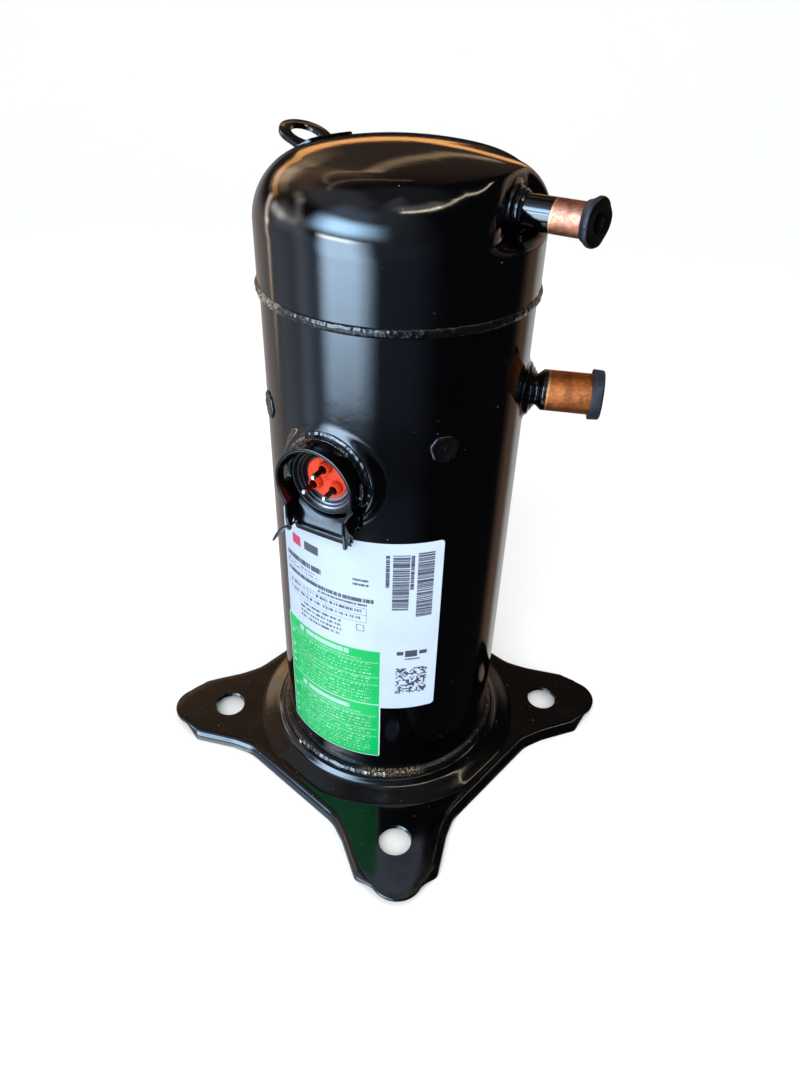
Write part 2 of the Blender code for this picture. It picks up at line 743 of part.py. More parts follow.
def flank(shift, steps):
    """Points of an involute flank, its roll angle running along the wrap."""
    points = []
    for i in range(steps + 1):
        roll = WRAP_START + WRAP_TURNS * 2 * math.pi * i / steps
        length = roll + shift
        x = math.cos(roll) + length * math.sin(roll)
        y = math.sin(roll) - length * math.cos(roll)
        points.append((BASE_CIRCLE_R * x, BASE_CIRCLE_R * y))
    return points


def wrap_outline(thickness):
    half = thickness / (2 * BASE_CIRCLE_R)
    steps = round(WRAP_TURNS * WRAP_STEPS)
    return flank(half, steps) + flank(-half, steps)[::-1]


def add_fixed_scroll(model):
    low, high = FIXED_PLATE_Z
    top = 314.0 * MM
    body = [
        (50.0 * MM, top),
        (50.0 * MM, high),
        (FIXED_R, high),
        (FIXED_R, FRAME_Z[1] + GAP),
        (FIXED_BORE_R, FRAME_Z[1] + GAP),
        (FIXED_BORE_R, low),
        (6.0 * MM, low),
        (6.0 * MM, top),
        (22.0 * MM, top),
        (22.0 * MM, high),
        (44.0 * MM, high),
        (44.0 * MM, top),
    ]
    scroll = model.add("fixed_scroll", turned(body, FINE), "cast_iron")
    tip = ORBIT_PLATE_Z[1] + SEAL_HEIGHT + 2 * GAP
    wrap = model.shape(plate([wrap_outline(WRAP_THICKNESS)], tip, low + 1.0 * MM), "fixed_wrap")
    boolean(scroll, wrap, "UNION")
    inlet = box((50.0 * MM, -10.0 * MM, 281.0 * MM), (70.0 * MM, 10.0 * MM, 293.0 * MM))
    turn = math.radians(SUCTION_AZIMUTH)
    boolean(scroll, model.shape(inlet, "scroll_inlet", rotation=(0, 0, turn)), "DIFFERENCE")
    for i in range(4):
        x, y = on_circle(BOLT_CIRCLE_R, 45.0 + 90.0 * i)
        hole = disc(BOLT_R + GAP, 270.0 * MM, 312.0 * MM, 12)
        hole = model.shape(hole, f"scroll_bolt_hole_{i + 1}", location=(x, y, 0))
        boolean(scroll, hole, "DIFFERENCE")
    seal = plate([wrap_outline(SEAL_WIDTH)], tip - GAP - SEAL_HEIGHT + GAP / 2, tip - GAP / 2)
    model.add("fixed_tip_seal", seal, "polymer")


def add_orbiting_scroll(model, axis):
    low, high = ORBIT_PLATE_Z
    hub = (14.5 * MM, 18.5 * MM)
    body = [
        (0, high),
        (ORBIT_PLATE_R, high),
        (ORBIT_PLATE_R, low),
        (hub[1], low),
        (hub[1], 255.5 * MM),
        (hub[0], 255.5 * MM),
        (hub[0], low),
        (0, low),
    ]
    scroll = model.add("orbiting_scroll", turned(body, FINE), "aluminium", axis)
    tip = FIXED_PLATE_Z[0] - SEAL_HEIGHT - 2 * GAP
    half_turn = (0, 0, math.pi)
    wrap = plate([wrap_outline(WRAP_THICKNESS)], high - 1.0 * MM, tip)
    boolean(scroll, model.shape(wrap, "orbiting_wrap", axis, rotation=half_turn), "UNION")
    half_width = KEY_WIDTH / 2 + ORBIT_R + GAP
    for side in (1, -1):
        near, far = sorted((side * 34.5 * MM, side * 60.0 * MM))
        slot = box((-half_width, near, low - 2 * MM), (half_width, far, low + 4.4 * MM))
        boolean(scroll, model.shape(slot, f"oldham_slot_{side}", axis), "DIFFERENCE")
    seal = plate([wrap_outline(SEAL_WIDTH)], tip + GAP / 2, tip + GAP / 2 + SEAL_HEIGHT)
    model.add("orbiting_tip_seal", seal, "polymer", axis, rotation=half_turn)
    bearing = ring(12.5 * MM, hub[0] - GAP, 255.8 * MM, low - 1.0 * MM)
    model.add("drive_bearing", bearing, "bronze", axis)


def add_oldham_ring(model, axis):
    """The ring slides along X in the frame, and the orbiting scroll slides along Y on it."""
    base = OLDHAM_FLOOR_Z + GAP
    body = model.add("oldham_ring", ring(38 * MM, 46 * MM, base, base + 4.2 * MM), "aluminium", axis)
    half = KEY_WIDTH / 2
    for side in (1, -1):
        near, far = sorted((side * 40.0 * MM, side * 48.0 * MM))
        lower = box((near, -half, OLDHAM_FLOOR_Z - 3.6 * MM), (far, half, base + 3.0 * MM))
        boolean(body, model.shape(lower, f"oldham_lower_key_{side}", axis), "UNION")
        near, far = sorted((side * 39.0 * MM, side * 47.0 * MM))
        upper = box((-half, near, base + 1.0 * MM), (half, far, ORBIT_PLATE_Z[0] + 3.4 * MM))
        boolean(body, model.shape(upper, f"oldham_upper_key_{side}", axis), "UNION")


def add_valve_and_seal(model):
    back = 314.0 * MM
    axis = model.empty("valve_axis", (0, 0, back + GAP))
    model.add("check_valve_disc", disc(9.0 * MM, 0.0, 1.2 * MM), "steel", axis)
    stop = [
        (0, 321.3 * MM),
        (12.0 * MM, 321.3 * MM),
        (12.0 * MM, back + GAP),
        (9.8 * MM, back + GAP),
        (9.8 * MM, 318.3 * MM),
        (0, 318.3 * MM),
    ]
    stop = model.add("check_valve_stop", turned(stop, COARSE), "steel")
    for i in range(3):
        side = box((0, -4.0 * MM, back + 1.0 * MM), (20.0 * MM, 4.0 * MM, 320.0 * MM))
        turn = (0, 0, math.radians(120.0 * i))
        boolean(stop, model.shape(side, f"valve_window_{i + 1}", rotation=turn), "DIFFERENCE")
    axis = model.empty("floating_seal_axis", (0, 0, FIXED_PLATE_Z[1] + GAP))
    model.add("floating_seal", ring(22.4 * MM, 43.6 * MM, 0.0, 6.4 * MM), "polymer", axis)
    rim = BORE_R
    partition = [
        (rim, 330.0 * MM),
        (rim, 316.0 * MM),
        (23.0 * MM, 316.0 * MM),
        (23.0 * MM, 319.0 * MM),
        (rim - SHEET, 319.0 * MM),
        (rim - SHEET, 330.0 * MM),
    ]
    model.add("separator_plate", turned(partition, FINE), "steel")


def add_scroll_bolts(model):
    seat = FIXED_PLATE_Z[1] + GAP
    for i in range(4):
        x, y = on_circle(BOLT_CIRCLE_R, 45.0 + 90.0 * i)
        bolt = [
            (0, seat + 6.0 * MM),
            (4.6 * MM, seat + 6.0 * MM),
            (4.6 * MM, seat),
            (BOLT_R, seat),
            (BOLT_R, OLDHAM_FLOOR_Z),
            (0, OLDHAM_FLOOR_Z),
        ]
        model.add(f"scroll_bolt_{i + 1}", turned(bolt, 12), "steel", location=(x, y, 0))


# ---------------------------------------------------------------- frame and bearings


def add_main_frame(model, ports):
    pocket_r = 24.0 * MM
    recess_r = FIXED_BORE_R
    bore = 13.6 * MM
    low, high = FRAME_Z
    body = [
        (BORE_R, high),
        (BORE_R, low),
        (57.0 * MM, 256.5 * MM),
        (34.0 * MM, 249.0 * MM),
        (19.0 * MM, 236.0 * MM),
        (19.0 * MM, 214.0 * MM),
        (bore, 214.0 * MM),
        (bore, 252.0 * MM),
        (pocket_r, 252.0 * MM),
        (pocket_r, THRUST_Z),
        (33.0 * MM, THRUST_Z),
        (33.0 * MM, OLDHAM_FLOOR_Z),
        (recess_r, OLDHAM_FLOOR_Z),
        (recess_r, high),
    ]
    frame = model.add("main_frame", turned(body, FINE), "cast_iron")
    half = KEY_WIDTH / 2 + GAP
    for side in (1, -1):
        near, far = sorted((side * 35.4 * MM, side * 52.8 * MM))
        slot = box((near, -half, OLDHAM_FLOOR_Z - 4.2 * MM), (far, half, OLDHAM_FLOOR_Z + 2 * MM))
        boolean(frame, model.shape(slot, f"frame_key_slot_{side}"), "DIFFERENCE")
    notch = disc(12.0 * MM, 57.0 * MM, 75.0 * MM)
    notch = model.shape(notch, "suction_notch", ports["suction"], rotation=RADIAL)
    boolean(frame, notch, "DIFFERENCE")
    for i in range(4):
        x, y = on_circle(BOLT_CIRCLE_R, 45.0 + 90.0 * i)
        hole = disc(BOLT_R + GAP, OLDHAM_FLOOR_Z - 1.0 * MM, 280.0 * MM, 12)
        hole = model.shape(hole, f"frame_bolt_hole_{i + 1}", location=(x, y, 0))
        boolean(frame, hole, "DIFFERENCE")
    thrust = ring(24.6 * MM, 32.6 * MM, THRUST_Z + GAP, THRUST_Z + 1.8 * MM)
    model.add("thrust_plate", thrust, "bronze")
    bearing = ring(JOURNAL_R + GAP, bore - GAP, 214.5 * MM, 251.5 * MM)
    model.add("main_bearing", bearing, "bronze")
    sheet = turned([(60.0 * MM, 273.0 * MM), (60.0 * MM, 261.0 * MM)], 3, 14.0, 1.0 * MM)
    turn = math.radians(SUCTION_AZIMUTH - 7.0)
    model.add("suction_baffle", sheet, "steel", rotation=(0, 0, turn))


def add_lower_bracket(model):
    bore = 10.8 * MM
    hub_r = 15.0 * MM
    bracket = model.add("lower_bracket", ring(bore, hub_r, 38.0 * MM, 58.0 * MM), "cast_iron")
    for i in range(3):
        arm = box((13.0 * MM, -9.0 * MM, 44.0 * MM), (66.0 * MM, 9.0 * MM, 48.0 * MM))
        turn = (0, 0, math.radians(30.0 + 120.0 * i))
        boolean(bracket, model.shape(arm, f"bracket_arm_{i + 1}", rotation=turn), "UNION")
    rim = model.shape(ring(64.5 * MM, BORE_R, 40.0 * MM, 52.0 * MM), "bracket_rim")
    boolean(bracket, rim, "UNION")
    bush = ring(LOWER_JOURNAL_R + GAP, bore - GAP, 38.5 * MM, 57.5 * MM)
    model.add("lower_bearing", bush, "bronze")


# ---------------------------------------------------------------- shaft and motor


def add_crankshaft(model, axis):
    shaft = [
        (0, 253.5 * MM),
        (JOURNAL_R, 253.5 * MM),
        (JOURNAL_R, 64.0 * MM),
        (LOWER_JOURNAL_R, 62.0 * MM),
        (LOWER_JOURNAL_R, 34.0 * MM),
        (0, 34.0 * MM),
    ]
    shaft = model.add("crankshaft", turned(shaft, FINE), "machined", axis)
    pin = disc(CRANK_PIN_R, 252.0 * MM, 268.0 * MM, FINE)
    boolean(shaft, model.shape(pin, "crank_pin", axis, (0, ORBIT_R, 0)), "UNION")
    oilway = disc(2.0 * MM, 20.0 * MM, 280.0 * MM, 10)
    boolean(shaft, model.shape(oilway, "oilway", axis), "DIFFERENCE")
    pickup = [
        (5.6 * MM, 33.7 * MM),
        (4.0 * MM, 8.0 * MM),
        (2.6 * MM, 8.0 * MM),
        (4.2 * MM, 33.7 * MM),
    ]
    model.add("oil_pickup", turned(pickup, 16), "steel", axis)


def add_eccentric_bush(model, axis):
    """The drive bush's bore is a short slot, so that it can slide inwards on the crank pin."""
    bore = CRANK_PIN_R + GAP
    slot = arc(bore, 0.0, 180.0, 12, (0.0, BUSH_TRAVEL)) + arc(bore, 180.0, 360.0, 12)
    mesh = plate([circle(12.2 * MM, FINE), slot], 254.0 * MM, 267.5 * MM)
    model.add("eccentric_bush", mesh, "machined", axis)


def half_ring(inner, outer, low, high, turn):
    outline = arc(outer, turn, turn + 180.0, 16) + arc(inner, turn + 180.0, turn, 16)
    return plate([outline], low, high)


def add_rotor(model, axis):
    low, high = STACK_Z
    bore = JOURNAL_R + GAP
    model.add("rotor_core", ring(bore, ROTOR_R, low, high), "lamination", axis)
    ring_height = 6.0 * MM
    inner = 21.0 * MM
    outer = 36.0 * MM
    top = high + GAP
    model.add("rotor_upper_ring", ring(inner, outer, top, top + ring_height), "aluminium", axis)
    bottom = low - GAP
    model.add("rotor_lower_ring", ring(inner, outer, bottom - ring_height, bottom), "aluminium", axis)
    start = top + ring_height + GAP
    weight = half_ring(22.0 * MM, 35.0 * MM, start, start + 16.0 * MM, 180.0)
    model.add("upper_counterweight", weight, "bronze", axis)
    start = bottom - ring_height - GAP
    weight = half_ring(22.0 * MM, 35.0 * MM, start - 12.0 * MM, start, 0.0)
    model.add("lower_counterweight", weight, "bronze", axis)


def stator_outline(steps=48):
    """The round stack with a flat on each diagonal for the oil to run back."""
    points = []
    for i in range(steps):
        turn = 2 * math.pi * i / steps
        off = (turn + math.pi / 4) % (math.pi / 2) - math.pi / 4
        flat = 66.0 * MM / math.cos(math.pi / 4 - abs(off))
        radius = min(BORE_R, flat)
        points.append((radius * math.cos(turn), radius * math.sin(turn)))
    return points


def winding_profile(base, height):
    """An end winding's section, rounded at the end away from the stack."""
    tip = base + height
    bevel = math.copysign(5.0 * MM, height)
    line = [
        (47.0 * MM, tip),
        (59.0 * MM, tip),
        (63.0 * MM, tip - bevel),
        (62.0 * MM, base),
        (42.0 * MM, base),
        (43.0 * MM, tip - bevel),
    ]
    return line if height > 0 else line[::-1]


def add_stator(model):
    low, high = STACK_Z
    stack = plate([stator_outline(), circle(STATOR_BORE_R, ROUND)], low, high)
    model.add("stator_core", stack, "lamination")
    model.add("upper_end_winding", turned(winding_profile(high + GAP, WINDING_RISE)), "windings")
    model.add("lower_end_winding", turned(winding_profile(low - GAP, -WINDING_DROP)), "windings")


def add_wiring(model, port):
    plug = box((46.0 * MM, -11.0 * MM, -9.0 * MM), (62.0 * MM, 11.0 * MM, 11.0 * MM))
    plug = model.add("terminal_plug", plug, "polymer", port)
    for cutter in pin_cutters(model, port, "plug_pin_hole", PIN_R + GAP, 50 * MM, 70 * MM):
        boolean(plug, cutter, "DIFFERENCE")
    top = STACK_Z[1] + WINDING_RISE + 2 * GAP
    drop = TERMINAL_Z - 9.3 * MM
    stations = [
        (54.0 * MM, TERMINAL_AZIMUTH, drop),
        (54.0 * MM, TERMINAL_AZIMUTH, 222.0 * MM),
        (53.0 * MM, -117.0, 212.0 * MM),
        (53.0 * MM, -114.0, top + 6.0 * MM),
        (53.0 * MM, -114.0, top),
    ]
    points = [(*on_circle(radius, azimuth), height) for radius, azimuth, height in stations]
    model.add("motor_lead", wire(points, 3.0 * MM), "polymer")
    x, y = on_circle(53.0 * MM, -55.0)
    model.add("overload_protector", disc(9.5 * MM, top, top + 9.0 * MM), "polymer", location=(x, y, 0))
    magnet = disc(9.0 * MM, 0.6 * MM, 4.6 * MM)
    model.add("sump_magnet", magnet, "magnet", location=(-30 * MM, 24 * MM, 0))


def build():
    clear_scene()
    model = Model()
    ports = {
        "terminal": model.empty("terminal_axis", (0, 0, TERMINAL_Z), TERMINAL_AZIMUTH),
        "suction": model.empty("suction_axis", (0, 0, SUCTION_Z), SUCTION_AZIMUTH),
        "discharge": model.empty("discharge_axis", (0, 0, DISCHARGE_Z), DISCHARGE_AZIMUTH),
    }
    shaft_axis = model.empty("shaft_axis")
    bush_axis = model.empty("bush_axis", (0, ORBIT_R, 0), parent=shaft_axis)
    orbit_axis = model.empty("orbit_axis", parent=bush_axis)
    oldham_axis = model.empty("oldham_axis")
    add_shell(model, ports)
    add_caps(model, ports)
    add_welds(model)
    add_foot(model)
    add_discharge(model, ports["discharge"])
    add_suction(model, ports["suction"])
    add_terminal(model, ports["terminal"])
    add_fence(model, ports["terminal"])
    add_eye(model)
    add_labels(model)
    add_fixed_scroll(model)
    add_orbiting_scroll(model, orbit_axis)
    add_oldham_ring(model, oldham_axis)
    add_valve_and_seal(model)
    add_scroll_bolts(model)
    add_main_frame(model, ports)
    add_lower_bracket(model)
    add_crankshaft(model, shaft_axis)
    add_eccentric_bush(model, bush_axis)
    add_rotor(model, shaft_axis)
    add_stator(model)
    add_wiring(model, ports["terminal"])


build()
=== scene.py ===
"""Looks of a hermetic scroll compressor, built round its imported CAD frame.

Every piece is drawn in the row frame. Shapes are worked out in millimetres: heights count from
the undersides of the foot's arms, and a feature on the shell sits on a port, which has an
azimuth and a height, with "out" along the radius, "across" counter-clockwise and "up".
"""

import json
import math

import bmesh
import bpy
import numpy as np
from mathutils import Matrix, Vector, noise


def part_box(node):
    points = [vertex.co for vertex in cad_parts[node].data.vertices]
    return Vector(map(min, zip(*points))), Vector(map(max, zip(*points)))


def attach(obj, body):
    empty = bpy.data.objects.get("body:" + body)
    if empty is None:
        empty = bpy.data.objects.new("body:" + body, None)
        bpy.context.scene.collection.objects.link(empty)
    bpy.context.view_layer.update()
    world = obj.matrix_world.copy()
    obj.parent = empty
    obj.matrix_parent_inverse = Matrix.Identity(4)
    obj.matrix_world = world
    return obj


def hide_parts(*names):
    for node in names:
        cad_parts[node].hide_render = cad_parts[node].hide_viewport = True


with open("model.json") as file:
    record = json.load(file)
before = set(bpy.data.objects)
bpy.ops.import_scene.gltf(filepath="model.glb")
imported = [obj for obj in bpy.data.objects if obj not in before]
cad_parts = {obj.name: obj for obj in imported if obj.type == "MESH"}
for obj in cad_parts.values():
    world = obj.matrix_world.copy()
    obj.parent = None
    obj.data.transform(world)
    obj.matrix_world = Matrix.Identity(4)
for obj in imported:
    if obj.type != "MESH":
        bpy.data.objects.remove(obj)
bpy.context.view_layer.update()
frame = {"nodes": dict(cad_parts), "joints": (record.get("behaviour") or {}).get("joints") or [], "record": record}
MM = 0.001
RECORD = frame["record"]

# ---------------------------------------------------------------- places read from the frame


def box_mm(node):
    low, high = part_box(node)
    return np.array(low) / MM, np.array(high) / MM


def middle(*nodes):
    return np.mean([np.mean(box_mm(node), axis=0) for node in nodes], axis=0)


def joint_azimuth(name):
    axis = next(joint["axis"] for joint in frame["joints"] if joint["name"] == name)
    return math.degrees(math.atan2(axis[1], axis[0]))


FOOT_Z = next(m["pos_m"][2] for m in RECORD["mounts"] if m["name"] == "foot_front") / MM
SHELL_R = box_mm("main_shell")[1][1]
CAP_R = SHELL_R + 1.0
SHELL_FOOT = box_mm("main_shell")[0][2] - FOOT_Z
SEAM = box_mm("top_cap")[0][2] - FOOT_Z
APEX = box_mm("top_cap")[1][2] - FOOT_Z
DISCHARGE_AZ = joint_azimuth("discharge_cover_pull")
DISCHARGE_Z = middle("discharge_tube")[2] - FOOT_Z
SUCTION_AZ = joint_azimuth("suction_cover_pull")
SUCTION_Z = middle("suction_tube")[2] - FOOT_Z
PINS = middle("terminal_pin_1", "terminal_pin_2", "terminal_pin_3")
TERMINAL_AZ = math.degrees(math.atan2(PINS[1], PINS[0]))
TERMINAL_Z = PINS[2] - FOOT_Z
ARM_TIP = box_mm("base_plate")[1][0]
SKIRT = box_mm("base_plate")[0][2] - FOOT_Z
RATING_Z = [corner[2] - FOOT_Z for corner in box_mm("rating_label")]
CAUTION_Z = [corner[2] - FOOT_Z for corner in box_mm("caution_label")]
DISCHARGE = (DISCHARGE_AZ, DISCHARGE_Z)
SUCTION = (SUCTION_AZ, SUCTION_Z)
TERMINAL = (TERMINAL_AZ, TERMINAL_Z)

# The frame holds boxes, so the sizes that a box doesn't give are named here, as part.py has them.
RATING_AZ = (-153.0, -70.0)
CAUTION_AZ = (-154.0, -97.0)
FILM_R = SHELL_R + 0.3
WALL = 3.0
PLUG_WELD_AZ = -73.3
ARM_R = 17.0
FOOT_HOLE_R = 10.3
DISCHARGE_R = 7.95
DISCHARGE_END = 96.0
SUCTION_R = 11.1
SUCTION_END = 111.9
SUCTION_NECK_R = 8.6

# The cap is a dome with a round shoulder. Towards the lobe the shoulder is tighter and higher.
LOBE = {"azimuth": -30.6, "corner": 15.0, "start": 367.5, "half": 36.0}
PLAIN = {"corner": 31.4, "start": 352.9}
# The flat under the discharge pipe: its distance from the axis, the angles across where its two
# sides ease off, the heights where its ledge does, and how round its edge is.
POCKET = {"floor": 60.0, "near": (4.0, 52.0), "far": (12.0, 28.0), "ledge": (351.0, 358.0), "edge": 3.5}

# The terminal: the seat's face, the pins, and the guard's arch and legs.
PAD_FACE = 73.0
SEAT_OPENING_R = 16.3
PIN_CIRCLE = 7.0
PIN_R = 1.45
FENCE_R = 22.2
FENCE_FACE = 86.6
LEG = 17.5
LEG_END = -31.5

# The lifting loop: where its sheet leaves the cap, its slope, and its round end.
EYE_AZ = 132.6
EYE_ROOT = (61.0, 379.0)
EYE_SLOPE = 19.0
EYE_CENTRE = 10.4
EYE_R = 14.3
EYE_HOLE = (8.7, 7.6)

# ---------------------------------------------------------------- shape helpers


def smoothstep(x, low, high):
    t = np.clip((np.asarray(x, float) - low) / (high - low), 0.0, 1.0)
    return t * t * (3.0 - 2.0 * t)


def direction(azimuth):
    turn = np.radians(azimuth)
    return np.stack([np.cos(turn), np.sin(turn), np.zeros_like(turn)], axis=-1)


def polar(azimuth, radius, height):
    """Points from azimuth, distance from the shell's axis and height."""
    azimuth, radius, height = np.broadcast_arrays(azimuth, radius, height)
    points = direction(azimuth.astype(float)) * radius[..., None]
    points[..., 2] = height
    return points


def placed(port, out, across, up):
    """Points from distances along a port's own directions. A port is (azimuth, height)."""
    out, across, up = np.broadcast_arrays(out, across, up)
    points = out[..., None] * direction(port[0]) + across[..., None] * direction(port[0] + 90.0)
    points[..., 2] = port[1] + up
    return points


def apart(a, b):
    """The turn from b to a, within half a circle either way."""
    return (np.asarray(a) - b + 180.0) % 360.0 - 180.0


def stations(low, high, step, bands=()):
    """Values from low to high, closer together inside the bands (low, high, step)."""
    made = [low]
    while made[-1] < high - 1e-9:
        here = min([step] + [fine for a, b, fine in bands if a <= made[-1] < b])
        made.append(min(high, made[-1] + here))
    return np.array(made)


def rounded(points, radius, steps=4, closed=True):
    """A flat line of points with each corner turned into an arc. Radius may be one per corner."""
    points = [np.array(p, float) for p in points]
    count = len(points)
    radii = radius if isinstance(radius, (list, tuple)) else [radius] * count
    made = []
    for i, point in enumerate(points):
        if not closed and i in (0, count - 1):
            made.append(point)
            continue
        back = points[i - 1] - point
        ahead = points[(i + 1) % count] - point
        a, b = np.linalg.norm(back), np.linalg.norm(ahead)
        half = math.acos(np.clip(np.dot(back, ahead) / (a * b), -1.0, 1.0)) / 2
        reach = min(radii[i] / max(math.tan(half), 1e-6), 0.48 * a, 0.48 * b)
        if reach < 1e-4 or half > 1.55:
            made.append(point)
            continue
        start, end = point + back / a * reach, point + ahead / b * reach
        for k in range(steps + 1):
            t = k / steps
            made.append((1 - t) ** 2 * start + 2 * t * (1 - t) * point + t**2 * end)
    return np.array(made)


def bumpy(points, size, seed, octaves=3):
    """Smooth noise between about -1 and 1 at each point. Size is the width of a lump."""
    shift = Vector((seed * 17.3, seed * 5.1, seed * 9.7))
    flat = [noise.fractal(Vector(p) / size + shift, 1.0, 2.0, octaves) for p in points.reshape(-1, 3)]
    return np.array(flat).reshape(points.shape[:-1])


def grid_faces(rows, columns, loop_rows, loop_columns, offset=0):
    i = np.arange(rows if loop_rows else rows - 1)[:, None]
    j = np.arange(columns if loop_columns else columns - 1)[None, :]
    corners = [i * columns + j, i * columns + (j + 1) % columns]
    corners += [(i + 1) % rows * columns + (j + 1) % columns, (i + 1) % rows * columns + j]
    return (np.stack(corners, axis=-1).reshape(-1, 4) + offset).tolist()


def solid(points, loop_rows=True, loop_columns=True, caps=False):
    """A mesh from a grid of points in millimetres. Caps close the first and the last row."""
    rows, columns = points.shape[:2]
    faces = grid_faces(rows, columns, loop_rows, loop_columns)
    if caps:
        faces.append(list(range(columns)))
        faces.append(list(range((rows - 1) * columns, rows * columns)))
    return clean_mesh((points.reshape(-1, 3) + (0, 0, FOOT_Z)) * MM, faces)


def clean_mesh(points, faces, sharp=38.0):
    mesh = bpy.data.meshes.new("shape")
    mesh.from_pydata(points.tolist(), [], faces)
    work = bmesh.new()
    work.from_mesh(mesh)
    return finished(work, mesh, sharp)


def finished(work, mesh, sharp=38.0):
    bmesh.ops.remove_doubles(work, verts=work.verts, dist=2e-6)
    bmesh.ops.dissolve_degenerate(work, dist=1e-6, edges=work.edges)
    bmesh.ops.recalc_face_normals(work, faces=work.faces)
    work.to_mesh(mesh)
    work.free()
    mesh.shade_smooth()
    mesh.set_sharp_from_angle(angle=math.radians(sharp))
    return mesh


def circle(steps):
    """Turns of a whole circle, one to a row."""
    return np.linspace(0.0, 2 * math.pi, steps, endpoint=False)[:, None]


def arc(centre, radius, turns):
    """Flat points of an arc, from turns in degrees."""
    return [
        (centre[0] + radius * math.cos(math.radians(t)), centre[1] + radius * math.sin(math.radians(t)))
        for t in turns
    ]


def turned(port, profile, steps=64, centre=(0.0, 0.0)):
    """A closed profile of (out, radius) turned about an axis that is (across, up) from a port."""
    turn = circle(steps)
    profile = np.asarray(profile, float)
    out, radius = profile[None, :, 0], profile[None, :, 1]
    across, up = centre[0] + radius * np.cos(turn), centre[1] + radius * np.sin(turn)
    return solid(placed(port, out + 0 * turn, across, up))


def scratch(mesh):
    """An object for a Boolean, removed again after it."""
    made = bpy.data.objects.new("scratch", mesh)
    bpy.context.scene.collection.objects.link(made)
    return made


def drill(port, radius, start, steps):
    """A cutter along a port's axis."""
    return turned(port, [(start, 0), (start, radius), (90, radius), (90, 0)], steps)


def cut(mesh, cutters, sharp=38.0):
    """The mesh with the cutters taken away, by exact Booleans."""
    base = scratch(mesh)
    helpers = [scratch(cutter) for cutter in cutters]
    for helper in helpers:
        modifier = base.modifiers.new("cut", "BOOLEAN")
        modifier.operation = "DIFFERENCE"
        modifier.object = helper
        modifier.solver = "EXACT"
    bpy.context.view_layer.update()
    graph = bpy.context.evaluated_depsgraph_get()
    made = bpy.data.meshes.new_from_object(base.evaluated_get(graph), depsgraph=graph)
    for used in [base] + helpers:
        bpy.data.objects.remove(used, do_unlink=True)
    work = bmesh.new()
    work.from_mesh(made)
    made.materials.clear()
    return finished(work, made, sharp)


def joined(meshes, sharp=38.0):
    """Several closed shapes in one mesh."""
    work = bmesh.new()
    for mesh in meshes:
        work.from_mesh(mesh)
    return finished(work, bpy.data.meshes.new("joined"), sharp)


def piece(name, mesh, material, body="housing", nodes=()):
    mesh.name = name
    mesh.materials.clear()
    mesh.materials.append(material)
    made = bpy.data.objects.new(name, mesh)
    bpy.context.scene.collection.objects.link(made)
    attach(made, body)
    if nodes:
        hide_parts(*nodes)
    return made


def bar(rows):
    """A solid from cross-sections, closed at both ends."""
    return solid(np.array(rows), loop_rows=False, caps=True)


def crossbar(port, outline, left, right):
    """An outline of (out, up) drawn straight across a port, between two distances."""
    outline = np.asarray(outline, float)
    return bar([placed(port, outline[:, 0], across, outline[:, 1]) for across in (left, right)])


# ---------------------------------------------------------------- material helpers


class Val:
    """A node socket that takes part in arithmetic."""

    def __init__(self, nodes, socket):
        self.nodes = nodes
        self.socket = socket

    def __add__(self, other):
        return self.nodes.math("ADD", self, other)

    def __sub__(self, other):
        return self.nodes.math("SUBTRACT", self, other)

    def __rsub__(self, other):
        return self.nodes.math("SUBTRACT", other, self)

    def __mul__(self, other):
        return self.nodes.math("MULTIPLY", self, other)

    def __truediv__(self, other):
        return self.nodes.math("DIVIDE", self, other)

    def __gt__(self, other):
        return self.nodes.math("GREATER_THAN", self, other)

    def __lt__(self, other):
        return self.nodes.math("LESS_THAN", self, other)

    __radd__ = __add__
    __rmul__ = __mul__


